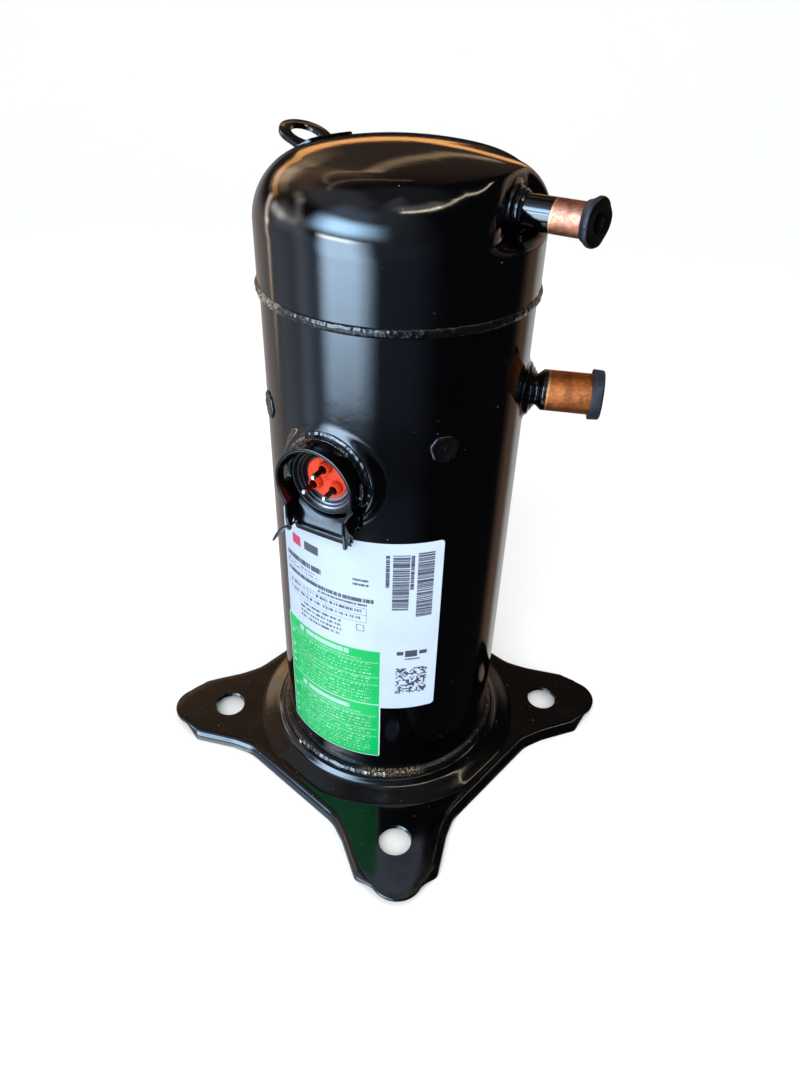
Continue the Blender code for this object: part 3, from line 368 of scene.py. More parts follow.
class Nodes:
    """Builds a node tree. Lengths inside a material are in millimetres."""

    def __init__(self, tree):
        self.tree = tree

    def node(self, kind, inputs=None, **settings):
        made = self.tree.nodes.new("ShaderNode" + kind)
        for name, value in settings.items():
            setattr(made, name, value)
        for name, value in (inputs or {}).items():
            self.feed(made.inputs[name], value)
        return made

    def feed(self, socket, value):
        if isinstance(value, Val):
            self.tree.links.new(value.socket, socket)
        elif socket.type == "RGBA" and len(value) == 3:
            socket.default_value = (*value, 1.0)
        else:
            socket.default_value = value

    def val(self, made, output=0):
        return Val(self, made.outputs[output])

    def math(self, operation, *values):
        return self.val(self.node("Math", dict(enumerate(values)), operation=operation))

    def smooth(self, x, low, high):
        inputs = {"Value": x, "From Min": low, "From Max": high}
        return self.val(self.node("MapRange", inputs, interpolation_type="SMOOTHSTEP"))

    def band(self, x, low, high, soft):
        """1 between low and high, with soft edges."""
        return self.smooth(x, low - soft, low + soft) * (1.0 - self.smooth(x, high - soft, high + soft))

    def mix(self, a, b, share):
        made = self.node("Mix", {0: share}, data_type="RGBA")
        self.feed(made.inputs[6], a)
        self.feed(made.inputs[7], b)
        return self.val(made, 2)

    def blend(self, a, b, share):
        return a + (b - a) * share if isinstance(b, Val) else share * (b - a) + a

    def split(self, vector):
        made = self.node("SeparateXYZ", {0: vector})
        return [self.val(made, i) for i in range(3)]

    def vector(self, x, y, z=0.0):
        return self.val(self.node("CombineXYZ", {0: x, 1: y, 2: z}))

    def scaled(self, vector, scale):
        inputs = {0: vector, 1: scale}
        return self.val(self.node("VectorMath", inputs, operation="MULTIPLY"))

    def noise(self, vector, scale, detail=2.0, rough=0.5, warp=0.0):
        inputs = {"Vector": vector, "Scale": scale, "Detail": detail, "Roughness": rough}
        inputs["Distortion"] = warp
        return self.val(self.node("TexNoise", inputs))

    def cells(self, vector, scale, metric="F1"):
        inputs = {"Vector": vector, "Scale": scale}
        made = self.node("TexVoronoi", inputs, feature=metric)
        return self.val(made, "Distance"), self.val(made, "Color")

    def specks(self, vector, scale, size, share):
        """Small round dots on some cells, of uneven size."""
        distance, colour = self.cells(vector, scale)
        red, green, _ = self.split(colour)
        return (distance < green * size) * (red < share)


class Paint(Nodes):
    """A material whose Principled shader is fed by nodes."""

    def __init__(self, name):
        self.material = bpy.data.materials.new(name)
        self.material.use_nodes = True
        super().__init__(self.material.node_tree)
        self.shader = self.tree.nodes["Principled BSDF"]
        place = self.val(self.node("TexCoord"), "Object")
        self.raw = self.scaled(place, (1 / MM,) * 3)
        self.x, self.y, height = self.split(self.raw)
        self.z = height - FOOT_Z

    def set(self, **inputs):
        for name, value in inputs.items():
            self.feed(self.shader.inputs[name.replace("_", " ")], value)
        return self.material

    def bump(self, height, depth, strength=1.0):
        """Height in units of depth, which is in millimetres."""
        inputs = {"Strength": strength, "Distance": depth * MM, "Height": height}
        made = self.val(self.node("Bump", inputs))
        self.feed(self.shader.inputs["Normal"], made)

    def azimuth(self):
        return self.math("ARCTAN2", self.y, self.x) * math.degrees(1.0)

    def at_port(self, port):
        """Distances out, across and up along a port's own directions."""
        turn = math.radians(port[0])
        out = self.x * math.cos(turn) + self.y * math.sin(turn)
        across = self.x * -math.sin(turn) + self.y * math.cos(turn)
        return out, across, self.z - port[1]

    def length(self, a, b):
        return self.math("SQRT", a * a + b * b)


# ---------------------------------------------------------------- materials


def enamel(name, rough=0.07, dust=0.02, peel=1.0, grime=0.0, shine=0.5):
    """Thick glossy black paint, with orange peel, run marks, dust and fine scuffs."""
    p = Paint(name)
    fine = p.noise(p.raw, 0.45, 3.0)
    wave = p.noise(p.raw, 0.06, 2.0)
    runs = p.noise(p.scaled(p.raw, (1.0, 1.0, 0.05)), 0.35, 3.0)
    p.bump(fine * 0.25 + wave * 2.2 + runs * 0.5, 0.030 * peel)
    cloud = p.noise(p.raw, 0.02, 4.0, 0.6)
    dots = p.specks(p.raw, 0.22, 0.075, dust)
    small = p.specks(p.raw, 0.6, 0.13, dust * 1.6)
    crumbs = p.math("MAXIMUM", dots, small) * p.smooth(cloud, 0.3, 0.6)
    scuff_field = p.noise(p.scaled(p.raw, (0.4, 0.4, 3.0)), 0.5, 5.0, 0.7, 0.6)
    scuffs = p.smooth(scuff_field, 0.70, 0.74) * 0.3
    film = p.smooth(p.noise(p.raw, 0.05, 5.0, 0.65), 0.45, 0.8) * (0.12 + grime)
    colour = p.mix((0.0006, 0.0006, 0.0008), (0.0065, 0.006, 0.0058), film)
    colour = p.mix(colour, (0.03, 0.03, 0.031), scuffs)
    colour = p.mix(colour, (0.42, 0.44, 0.45), crumbs)
    gloss = rough + film * 0.10 + runs * 0.03 + crumbs * 0.5 + scuffs * 0.4
    return p.set(Base_Color=colour, Roughness=gloss, IOR=1.5, Specular_IOR_Level=shine)


def weld_paint(name):
    """Black paint over a rough weld, with spatter and pale specks painted as glints, a dusty crust on one side,
    and painted golden glints on the front of the foot weld.
    """
    p = Paint(name)
    grit = p.noise(p.raw, 0.9, 5.0, 0.7)
    lumps, _ = p.cells(p.raw, 0.55, "SMOOTH_F1")
    p.bump(grit * 0.9 + lumps * 0.6, 0.16)
    # Painted highlight: pale specks stand in for glints on the weld.
    glint = p.specks(p.raw, 1.1, 0.2, 0.12) * p.smooth(p.noise(p.raw, 0.08, 2.0), 0.45, 0.6)
    brown = p.smooth(p.noise(p.raw, 0.3, 4.0, 0.7), 0.55, 0.75)
    crust = p.band(p.azimuth(), -162.0, -143.0, 3.0) * p.smooth(p.z, 300.0, 310.0)
    crust = crust * p.smooth(p.noise(p.raw, 0.5, 5.0, 0.75), 0.38, 0.62)
    colour = p.mix((0.002, 0.002, 0.0024), (0.018, 0.012, 0.008), brown * 0.6)
    colour = p.mix(colour, (0.26, 0.23, 0.20), crust)
    colour = p.mix(colour, (0.55, 0.53, 0.50), glint)
    # Painted highlight: golden glints on the front of the foot weld stand in for a warm lamp's reflection; the
    # metal there is also made bare.
    low = p.z < 22.0
    grains = p.noise(p.vector(p.azimuth() * 1.6, p.z * 1.1), 1.0, 4.0, 0.75)
    front_golden_glint = p.band(p.azimuth(), -104.0, -76.0, 5.0) * low * p.smooth(grains, 0.52, 0.60)
    colour = p.mix(colour, (0.62, 0.47, 0.29), front_golden_glint)
    gloss = grit * 0.12 + 0.07 + glint * 0.2 + crust * 0.4 + front_golden_glint * 0.2
    return p.set(Base_Color=colour, Roughness=gloss, IOR=1.5, Metallic=front_golden_glint)


def copper(name, port, edge, lean, tone):
    """Drawn copper, stained where it is bare and black where the shell's paint ran over it."""
    p = Paint(name)
    out, across, up = p.at_port(port)
    out = out - up * lean
    blotch = p.noise(p.raw, 0.16, 5.0, 0.65, 0.6)
    small = p.noise(p.raw, 1.0, 5.0, 0.7)
    pits, _ = p.cells(p.raw, 0.9)
    ring_lines = p.noise(p.vector(out * 3.0, p.x * 0.04, p.z * 0.04), 1.0, 3.0)
    draw_lines = p.noise(p.vector(out * 0.06, across * 1.6, p.z * 1.6), 1.0, 3.0)
    dark = tuple(0.50 * c for c in tone)
    stained = tuple(0.22 * c for c in tone)
    pale = (min(1.0, 1.10 * tone[0]), 1.25 * tone[1], 1.2 * tone[2])
    streaks = p.noise(p.vector(out * 0.25, across * 0.5, p.z * 0.5), 1.0, 5.0, 0.7, 0.8)
    colour = p.mix(tone, dark, p.smooth(blotch, 0.44, 0.62) * 0.8)
    colour = p.mix(colour, pale, p.smooth(p.noise(p.raw, 0.35, 4.0, 0.6), 0.52, 0.68) * 0.7)
    colour = p.mix(colour, dark, p.smooth(streaks, 0.50, 0.62) * 0.7)
    colour = p.mix(colour, stained, p.smooth(small, 0.55, 0.66) * 0.8)
    wobble = p.noise(p.raw, 0.5, 2.0) * 0.5 - 0.25
    bare = p.smooth(out + wobble, edge - 0.12, edge + 0.12)
    gold = p.band(out, edge, edge + 1.0, 0.5) * 0.4
    colour = p.mix(colour, (0.95, 0.50, 0.20), gold)
    colour = p.mix((0.001, 0.001, 0.0012), colour, bare)
    relief = (ring_lines + draw_lines * 0.7 + small * 1.5 - pits * 0.5) * bare
    p.bump(relief + p.noise(p.raw, 0.08, 2.0) * 3.0, 0.05)
    gloss = p.blend(0.09, 0.40, bare) + small * 0.2 * bare
    return p.set(Base_Color=colour, Metallic=bare, Roughness=gloss, IOR=1.5)


def rubber(name):
    """Dull black rubber with a grey bloom, and painted shade on the discharge cap's end face and in its bore."""
    p = Paint(name)
    grain = p.noise(p.raw, 1.3, 4.0, 0.6)
    bloom = p.smooth(p.noise(p.raw, 0.16, 5.0, 0.65), 0.42, 0.75)
    dots = p.specks(p.raw, 0.7, 0.2, 0.05)
    p.bump(grain + p.noise(p.raw, 0.2, 2.0) * 4.0, 0.05)
    colour = p.mix((0.006, 0.0075, 0.011), (0.022, 0.03, 0.045), bloom)
    colour = p.mix(colour, (0.2, 0.22, 0.26), dots)
    # Painted shade: the cap's end face, found from its normal, and its bore are painted near black and given less
    # shine.
    normal = p.val(p.node("NewGeometry"), "Normal")
    inputs = {0: normal, 1: tuple(direction(DISCHARGE_AZ))}
    facing = p.val(p.node("VectorMath", inputs, operation="DOT_PRODUCT"), "Value")
    _, across, up = p.at_port(DISCHARGE)
    bore_shade = p.length(across, up) < 5.6
    end = p.math("MAXIMUM", p.smooth(facing, 0.72, 0.9), bore_shade)
    colour = p.mix(colour, (0.0006, 0.0006, 0.0008), end)
    return p.set(Base_Color=colour, Roughness=0.42 + grain * 0.25, Specular_IOR_Level=0.4 - end * 0.3)


def insulator(name):
    """Orange-red moulding, with pores, and painted shade in its hollows."""
    p = Paint(name)
    grain = p.noise(p.raw, 0.9, 4.0, 0.65)
    pores = p.specks(p.raw, 1.4, 0.24, 0.25)
    p.bump(grain * 1.4 - pores * 1.5, 0.08)
    colour = p.mix((0.80, 0.055, 0.018), (0.90, 0.085, 0.032), p.smooth(grain, 0.35, 0.7))
    colour = p.mix(colour, (0.45, 0.03, 0.012), pores * 0.5)
    # Painted shade: ambient occlusion darkens the colour in the hollows round the sleeves.
    hollow_shade = p.val(p.node("AmbientOcclusion", {"Distance": 4.5 * MM}, samples=8), "AO")
    colour = p.mix((0.17, 0.008, 0.005), colour, p.smooth(hollow_shade, 0.35, 0.92))
    return p.set(Base_Color=colour, Roughness=0.42 + grain * 0.2, Specular_IOR_Level=0.25)


def plated(name, colour, rough, port, rings, dark=None, rim=None):
    """Bright plated steel, with turned rings about a port's axis. It is black within the distance
    dark from the shell's axis, and black paint outside the radius rim. On the side away from the light it is
    painted shade, black and not metallic."""
    p = Paint(name)
    stain = p.smooth(p.noise(p.raw, 0.35, 4.0, 0.6), 0.45, 0.75)
    out, across, up = p.at_port(port)
    reach = p.length(across, up)
    height = p.noise(p.raw, 1.2, 4.0) * 0.3 + p.noise(p.vector(reach * rings, 0.0), 1.0, 2.0)
    tone = p.mix(colour, tuple(0.45 * c for c in colour), stain * 0.6)
    gloss = rough + stain * 0.18
    shine = p.x * 0.0 + 1.0
    # Painted shade: the plated face goes black and loses its metal on the side away from the light; outside the
    # rim it is black paint.
    if rim is not None:
        shine = p.smooth(across * 0.75 - up * 0.66, 2.0, 15.0) * (1.0 - p.smooth(reach, rim, rim + 0.8))
        tone = p.mix((0.004, 0.004, 0.005), tone, shine)
    if dark is not None:
        inside = 1.0 - p.smooth(out, dark - 0.3, dark + 0.3)
        tone = p.mix(tone, (0.05, 0.035, 0.03), inside)
        gloss = gloss + inside * 0.12
    p.bump(height, 0.03)
    return p.set(Base_Color=tone, Metallic=shine, Roughness=gloss, Specular_IOR_Level=0.15)


def metal(name, colour, rough, grain=0.5, metallic=1.0, depth=0.03, lines=0.0):
    """A general metal or polymer for the inner works. Lines run around the shell's axis."""
    p = Paint(name)
    cloud = p.smooth(p.noise(p.raw, 0.08, 5.0, 0.65), 0.4, 0.7)
    height = fine = p.noise(p.raw, grain, 5.0, 0.65)
    if lines:
        height = fine * 0.3 + p.math("SINE", p.z * (2 * math.pi * lines)) * 0.5
    pits = p.specks(p.raw, 0.5, 0.2, 0.1)
    p.bump(height, depth)
    tone = p.mix(colour, tuple(0.6 * c for c in colour), cloud)
    tone = p.mix(tone, tuple(min(1.0, 1.5 * c) for c in colour), pits * 0.5)
    return p.set(Base_Color=tone, Metallic=metallic, Roughness=rough + fine * 0.15)


def brass(name):
    """Bare brass with dark grains."""
    p = Paint(name)
    grain = p.noise(p.raw, 1.2, 4.0)
    p.bump(grain, 0.05)
    tone = p.mix((0.62, 0.48, 0.24), (0.35, 0.24, 0.1), p.smooth(grain, 0.4, 0.65))
    return p.set(Base_Color=tone, Metallic=1.0, Roughness=0.3 + grain * 0.1)


class Print:
    """Draws printed matter on a label in (across from its left edge, down from its top edge)."""

    def __init__(self, p, sheet_az, sheet_z):
        self.p = p
        self.s = (p.azimuth() - sheet_az[0]) * (math.radians(1.0) * FILM_R)
        self.v = sheet_z[1] - p.z
        self.ink = None
        self.seed = 0.0

    def lay(self, shape):
        self.ink = shape if self.ink is None else self.p.math("MAXIMUM", self.ink, shape)

    def inside(self, left, right, top, bottom):
        across = self.p.math("COMPARE", self.s, (left + right) / 2, (right - left) / 2)
        return across * self.p.math("COMPARE", self.v, (top + bottom) / 2, (bottom - top) / 2)

    def block(self, *edges):
        self.lay(self.inside(*edges))

    def broken(self, coordinate, pitch, share):
        """Uneven dashes along a coordinate."""
        self.seed += 7.31
        place = self.p.vector(coordinate / pitch + self.seed, 0.0)
        return self.p.noise(place, 1.0, 3.0, 0.8) > (1.0 - share)

    def words(self, left, right, top, bottom, pitch, share):
        """A row of plain dashes in the place of a line of print."""
        self.lay(self.inside(left, right, top, bottom) * self.broken(self.s, pitch, share))

    def column(self, left, right, top, bottom, share):
        """A column of plain bars of uneven thickness."""
        self.lay(self.inside(left, right, top, bottom) * self.broken(self.v, 0.9, share))

    def rows(self, left, right, top, bottom, pitch, share, fill, dash):
        """A block of rows of dashes. Fill is the share of the pitch that a row takes."""
        down = (self.v - top) / pitch
        line = self.p.math("FLOOR", down)
        within = (down - line) < fill
        picked = self.p.noise(self.p.vector(self.s / dash, line * 7.7 + self.seed), 1.0, 3.0, 0.8)
        self.seed += 3.1
        self.lay(self.inside(left, right, top, bottom) * within * (picked > (1.0 - share)))

    def frame_lines(self, left, right, top, bottom, width):
        """The outline of a rectangle."""
        outer = self.inside(left, right, top, bottom)
        self.lay(outer - self.inside(left + width, right - width, top + width, bottom - width))


def film_surface(p):
    """Slight waves and grain of a stuck-on film. Gives its roughness."""
    p.bump(p.noise(p.raw, 0.08, 2.0) * 3.0 + p.noise(p.raw, 1.5, 2.0) * 0.1, 0.03)
    return 0.30 + p.noise(p.raw, 0.15, 3.0) * 0.12


def rating_film(name):
    """Whitish film with a red and a grey block, rows of dashes, two bar codes and a field of squares.
    Nothing on it is lettering."""
    p = Paint(name)
    art = Print(p, RATING_AZ, RATING_Z)
    art.words(20.5, 31.5, 13.5, 19.5, 2.6, 0.6)
    art.words(2.5, 33.0, 28.4, 32.2, 1.7, 0.56)
    art.rows(2.5, 31.0, 34.0, 39.0, 2.3, 0.52, 0.45, 0.9)
    art.words(3.0, 66.0, 40.2, 43.0, 1.4, 0.56)
    art.rows(53.5, 63.0, 26.3, 32.0, 3.2, 0.55, 0.5, 0.9)
    art.words(30.0, 62.0, 44.2, 45.8, 1.0, 0.54)
    art.frame_lines(2.6, 61.8, 47.2, 58.4, 0.3)
    art.block(2.6, 61.8, 52.4, 52.7)
    art.block(35.6, 35.9, 47.2, 58.4)
    art.block(21.6, 21.9, 47.2, 58.4)
    art.rows(4.5, 60.0, 48.6, 58.0, 5.4, 0.5, 0.4, 1.2)
    art.rows(14.0, 46.0, 60.2, 74.0, 3.5, 0.52, 0.5, 1.0)
    art.frame_lines(55.5, 60.5, 60.2, 65.2, 0.45)
    art.column(76.3, 85.8, 7.6, 47.2, 0.53)
    art.column(72.4, 74.6, 7.8, 30.4, 0.55)
    art.column(90.2, 99.8, 6.4, 52.6, 0.53)
    art.column(86.3, 88.4, 8.0, 32.0, 0.55)
    art.words(80.0, 84.0, 79.6, 82.6, 1.8, 0.62)
    art.words(85.0, 92.4, 79.0, 84.2, 2.6, 0.7)
    art.words(93.6, 98.4, 79.6, 82.6, 1.8, 0.62)
    art.words(84.5, 94.5, 85.4, 86.6, 0.8, 0.55)
    left, top, square = 79.7, 93.5, 1.08
    cell = p.vector(p.math("FLOOR", (art.s - left) / square), p.math("FLOOR", (art.v - top) / square))
    speck = p.val(p.node("TexWhiteNoise", {"Vector": cell}, noise_dimensions="2D"))
    art.lay(art.inside(left, left + 19.4, top, top + 21.6) * (speck > 0.52))
    ink = art.ink * (0.86 + p.noise(p.raw, 2.0, 2.0) * 0.14)
    accent = art.inside(9.6, 17.2, 13.2, 20.2)
    yellowed = p.smooth(p.noise(p.raw, 0.03, 4.0), 0.4, 0.8)
    # Painted light: the sheet's bluish tint is the cast of bluish sky light, put into its colour.
    sheet = p.mix((0.48, 0.59, 0.77), (0.44, 0.54, 0.70), yellowed)
    smudge = p.smooth(p.noise(p.scaled(p.raw, (1.0, 1.0, 0.4)), 0.12, 6.0, 0.7), 0.62, 0.78)
    sheet = p.mix(sheet, (0.33, 0.40, 0.50), smudge * 0.4)
    colour = p.mix(sheet, (0.022, 0.025, 0.042), ink)
    colour = p.mix(colour, (0.50, 0.035, 0.10), accent)
    return p.set(Base_Color=colour, Roughness=film_surface(p), Specular_IOR_Level=0.35)


def caution_film(name):
    """Green film with two like halves of pale rows of dashes. Nothing on it is lettering."""
    p = Paint(name)
    art = Print(p, CAUTION_AZ, CAUTION_Z)
    right = math.radians(CAUTION_AZ[1] - CAUTION_AZ[0]) * FILM_R
    bottom = CAUTION_Z[1] - CAUTION_Z[0]
    for top in (0.0, 47.4):
        art.words(19.5, 52.0, top + 2.2, top + 6.0, 2.2, 0.6)
        art.block(13.5, 17.6, top + 2.2, top + 6.2)
        art.words(9.0, 60.0, top + 7.5, top + 8.5, 1.2, 0.5)
        for start, end, pitch in ((10.9, 21.8, 2.7), (23.4, 28.4, 2.5), (30.0, 45.0, 2.7)):
            art.rows(8.5, 66.0, top + start, top + end, pitch, 0.47, 0.38, 1.2)
        for line in (9.9, 22.3, 28.9):
            art.block(1.5, right - 2.0, top + line, top + line + 0.35)
        for spot in (12.5, 24.3, 32.0, 38.5):
            art.block(3.2, 6.2, top + spot, top + spot + 2.6)
    art.block(0.0, right, 46.0, 46.9)
    margin = 1.0 - art.inside(0.7, right - 0.8, 0.5, bottom - 0.6)
    ink = p.math("MAXIMUM", art.ink * 0.75, margin)
    tone = p.mix((0.0, 0.46, 0.115), (0.0, 0.40, 0.10), p.smooth(p.noise(p.raw, 0.05, 3.0), 0.35, 0.7))
    colour = p.mix(tone, (0.48, 0.62, 0.66), ink)
    return p.set(Base_Color=colour, Roughness=film_surface(p), Specular_IOR_Level=0.18)


# ---------------------------------------------------------------- shell, cap and welds


def shell_radius(azimuth, height):
    """The rolled shell with the terminal's flat seat and the suction pipe's drawn-out boss."""

    def near(port, low, high):
        """1 within the distance low of a port, 0 beyond high. And the turn away from the port."""
        turn = np.radians(apart(azimuth, port[0]))
        facing = np.abs(turn) < 0.7
        reach = np.hypot(SHELL_R * np.sin(turn), height - port[1])
        return np.where(facing, 1.0 - smoothstep(reach, low, high), 0.0), np.where(facing, turn, 0.0)

    seat, turn = near(TERMINAL, 24.5, 31.0)
    boss, _ = near(SUCTION, 8.0, 20.0)
    return SHELL_R + (PAD_FACE / np.cos(turn) - SHELL_R) * seat + 4.4 * boss**1.5


def build_shell(paint):
    fine = [(TERMINAL_AZ - 30, TERMINAL_AZ + 30, 0.75), (SUCTION_AZ - 18, SUCTION_AZ + 18, 0.75)]
    turns = stations(-180.0, 180.0, 2.0, fine)[:-1]
    fine = [(TERMINAL_Z - 36, TERMINAL_Z + 36, 1.2), (SUCTION_Z - 24, SUCTION_Z + 24, 1.2)]
    heights = stations(SHELL_FOOT, SEAM - 0.3, 8.0, fine)
    heights = np.append(heights, [heights[-1], SHELL_FOOT])
    outer = shell_radius(turns[:, None], heights[None, :])
    outer[:, -2:] = SHELL_R - WALL
    shell = solid(polar(turns[:, None], outer, heights[None, :]))
    opening = drill(TERMINAL, SEAT_OPENING_R, 50, 48)
    inlet = drill(SUCTION, SUCTION_NECK_R + 0.1, 50, 32)
    shell = cut(shell, [opening, inlet])
    piece("rolled_shell", shell, paint, nodes=["main_shell"])


def cap_lines(azimuth, corner_steps=24, dome_steps=26):
    """Radius and height of the cap's outer line at each azimuth, rim first, with no pocket."""
    away = np.abs(apart(azimuth, LOBE["azimuth"]))
    weight = np.cos(np.pi / 2 * np.minimum(away / LOBE["half"], 1.0)) ** 2
    corner = PLAIN["corner"] + (LOBE["corner"] - PLAIN["corner"]) * weight
    start = PLAIN["start"] + (LOBE["start"] - PLAIN["start"]) * weight
    reach = CAP_R - corner
    rise = APEX - start
    dome = (reach**2 + rise**2 - corner**2) / (2 * (rise - corner))
    centre = APEX - dome
    join = np.arctan2(start - centre, reach)
    radii, heights = [], []
    for height in list(np.linspace(SEAM, 348.0, 6)) + list(np.arange(349.0, 366.1, 0.8)):
        turn = np.arcsin(np.clip((height - start) / corner, 0.0, 1.0))
        radii.append(reach + corner * np.cos(turn))
        heights.append(np.full_like(start, height))
    for i in range(1, corner_steps + 1):
        angle = turn + (join - turn) * i / corner_steps
        radii.append(reach + corner * np.cos(angle))
        heights.append(start + corner * np.sin(angle))
    for i in range(1, dome_steps):
        angle = join + (np.pi / 2 - join) * i / dome_steps
        radii.append(dome * np.cos(angle))
        heights.append(centre + dome * np.sin(angle))
    return np.stack(radii, axis=1), np.stack(heights, axis=1)


def press_pocket(azimuth, radii, heights, floor):
    """Presses in the flat that the discharge pipe leaves from. Its upper edge is eased."""
    away = np.radians(apart(azimuth, DISCHARGE_AZ))[:, None]
    out, across = radii * np.cos(away), radii * np.sin(away)
    near, far = smoothstep(-across, *POCKET["near"]), smoothstep(across, *POCKET["far"])
    sides = np.where(across < 0, near, far)
    share = (1.0 - sides) * smoothstep(heights, *POCKET["ledge"])
    over = POCKET["edge"] * np.logaddexp(0.0, (out - floor) / POCKET["edge"])
    out = out - share * over
    return placed((DISCHARGE_AZ, 0.0), out, across, heights)


def build_cap(paint):
    turns = stations(-180.0, 180.0, 1.5, [(DISCHARGE_AZ - 56, DISCHARGE_AZ + 42, 0.6)])[:-1]
    radii, heights = cap_lines(turns)
    outer = press_pocket(turns, radii, heights, POCKET["floor"])
    drop = WALL * smoothstep(heights, 350, APEX)
    inner = press_pocket(turns, radii * (1 - WALL / CAP_R), heights - drop, POCKET["floor"] - WALL)
    rows, columns = radii.shape
    inside = rows * columns
    apex = 2 * inside
    faces = grid_faces(rows, columns, True, False)
    faces += grid_faces(rows, columns, True, False, inside)
    for i in range(rows):
        rim, after = i * columns, (i + 1) % rows * columns
        last = columns - 1
        faces.append((rim + last, after + last, apex))
        faces.append((inside + rim + last, inside + after + last, apex + 1))
        faces.append((rim, after, inside + after, inside + rim))
    apexes = [(0.0, 0.0, APEX), (0.0, 0.0, APEX - WALL)]
    points = np.concatenate([outer.reshape(-1, 3), inner.reshape(-1, 3), apexes])
    cap = clean_mesh((points + (0, 0, FOOT_Z)) * MM, faces, 50.0)
    cap = cut(cap, [drill(DISCHARGE, DISCHARGE_R + 0.1, 40, 40)], 50.0)
    piece("domed_cap", cap, paint, nodes=["top_cap"])


def ring_bead(name, node, section, size, lift, seed, material, ripple, patches):
    """A weld bead round the shell, with lumps of a size and a lift. The section is (radius, height),
    and the patches of rougher weld are (azimuth, half width, lift)."""
    turns = np.arange(0.0, 360.0, 0.5)
    section = rounded(section, 0.8, 3)
    points = polar(turns[:, None], section[None, :, 0], section[None, :, 1])
    depth = np.clip((section[None, :, 0] - (SHELL_R + 0.4)) / 1.5, 0.0, 1.0)
    rough = bumpy(points, size, seed) * lift + bumpy(points, size / 3, seed + 1) * lift * 0.45
    wave = np.sin(np.radians(turns)[:, None] * SHELL_R * 2 * np.pi / 1.9 + section[None, :, 1] * 0.9)
    rough = rough + ripple * wave
    for azimuth, half, more in patches:
        near = 1.0 - smoothstep(np.abs(apart(turns, azimuth)), half * 0.4, half)
        rough = rough + near[:, None] * (0.4 + bumpy(points, 1.6, seed + 3)) * more
    points += direction(turns)[:, None, :] * (rough * depth)[..., None]
    points[..., 2] += bumpy(points, size * 1.6, seed + 2) * lift * 0.9 * depth
    piece(name, solid(points), material, nodes=[node])


def plug_weld_mesh(i):
    """A round weld that fills a hole in the shell, with a low middle and an uneven rim."""
    r = SHELL_R
    port = (PLUG_WELD_AZ - 90.0 * i, middle("frame_plug_weld_1")[2] - FOOT_Z)
    profile = [
        (r - 0.6, 0), (r + 0.62, 0), (r + 0.55, 3.6), (r + 0.95, 5.4), (r + 1.15, 6.5), (r + 0.5, 7.6),
        (r - 0.6, 7.5),
    ]
    profile = rounded(profile, 0.8, 3)
    out, reach = profile[None, :, 0], np.maximum(profile[None, :, 1], 0.0)
    turn = circle(72)
    reach = reach * (1.0 + 0.04 * np.sin(3 * turn + i) + 0.03 * np.sin(7 * turn + 2 * i))
    points = placed(port, out + 0 * turn, reach * np.cos(turn), reach * np.sin(turn))
    return solid(points + direction(port[0]) * (bumpy(points, 2.2, 11 + i) * 0.28 * (out > r))[..., None])


def build_welds(material):
    r = SHELL_R
    seam = [
        (CAP_R - 0.5, SEAM + 2.6), (CAP_R + 0.9, SEAM + 1.9), (CAP_R + 1.3, SEAM + 0.4),
        (CAP_R + 0.9, SEAM - 1.3), (r + 0.7, SEAM - 2.9), (r - 0.5, SEAM - 3.0), (r - 0.5, SEAM + 0.5),
    ]
    patches = [(-152, 13, 0.75), (-95, 4, 0.3)]
    ring_bead("cap_seam_bead", "top_seam_weld", seam, 3.5, 0.42, 1, material, 0.05, patches)
    foot = [
        (r - 0.4, 16.0), (r + 0.9, 15.7), (r + 2.9, 15.0), (r + 4.0, 13.0), (r + 3.9, 11.4),
        (r + 2.9, 10.4), (r - 0.4, 10.4),
    ]
    patches = [(-40, 7, 0.4), (150, 6, 0.5)]
    ring_bead("foot_seam_bead", "base_weld", foot, 5.0, 0.5, 5, material, 0.07, patches)
    for i in range(4):
        piece(
            f"plug_weld_{i + 1}", plug_weld_mesh(i), material,
            nodes=[f"frame_plug_weld_{i + 1}"],
        )


# ---------------------------------------------------------------- foot


def arm_outline():
    """The foot's star outline as evenly walked points, one quarter after the other."""
    tip = arc((0.0, ARM_TIP - ARM_R), ARM_R, range(90, 29, -5))
    flank = [(26.0, 138.5), (34.0, 112.0), (40.2, 98.4)]
    side = tip + flank
    quarter = side + [(y, x) for x, y in side[::-1]][:-1]
    radii = [0.0] * len(tip) + [5.0, 30.0, 26.0]
    radii = radii + radii[::-1][:-1]
    points, rounds = [], []
    for k in range(4):
        turn = math.radians(-90.0 * k)
        c, s = math.cos(turn), math.sin(turn)
        points += [(x * c - y * s, x * s + y * c) for x, y in quarter]
        rounds += radii
    line = rounded(points, rounds, 7)
    closed = np.vstack([line, line[:1]])
    lengths = np.concatenate([[0.0], np.cumsum(np.linalg.norm(np.diff(closed, axis=0), axis=1))])
    walk = np.linspace(0.0, lengths[-1], 560, endpoint=False)
    return np.stack([np.interp(walk, lengths, closed[:, k]) for k in (0, 1)], axis=1)


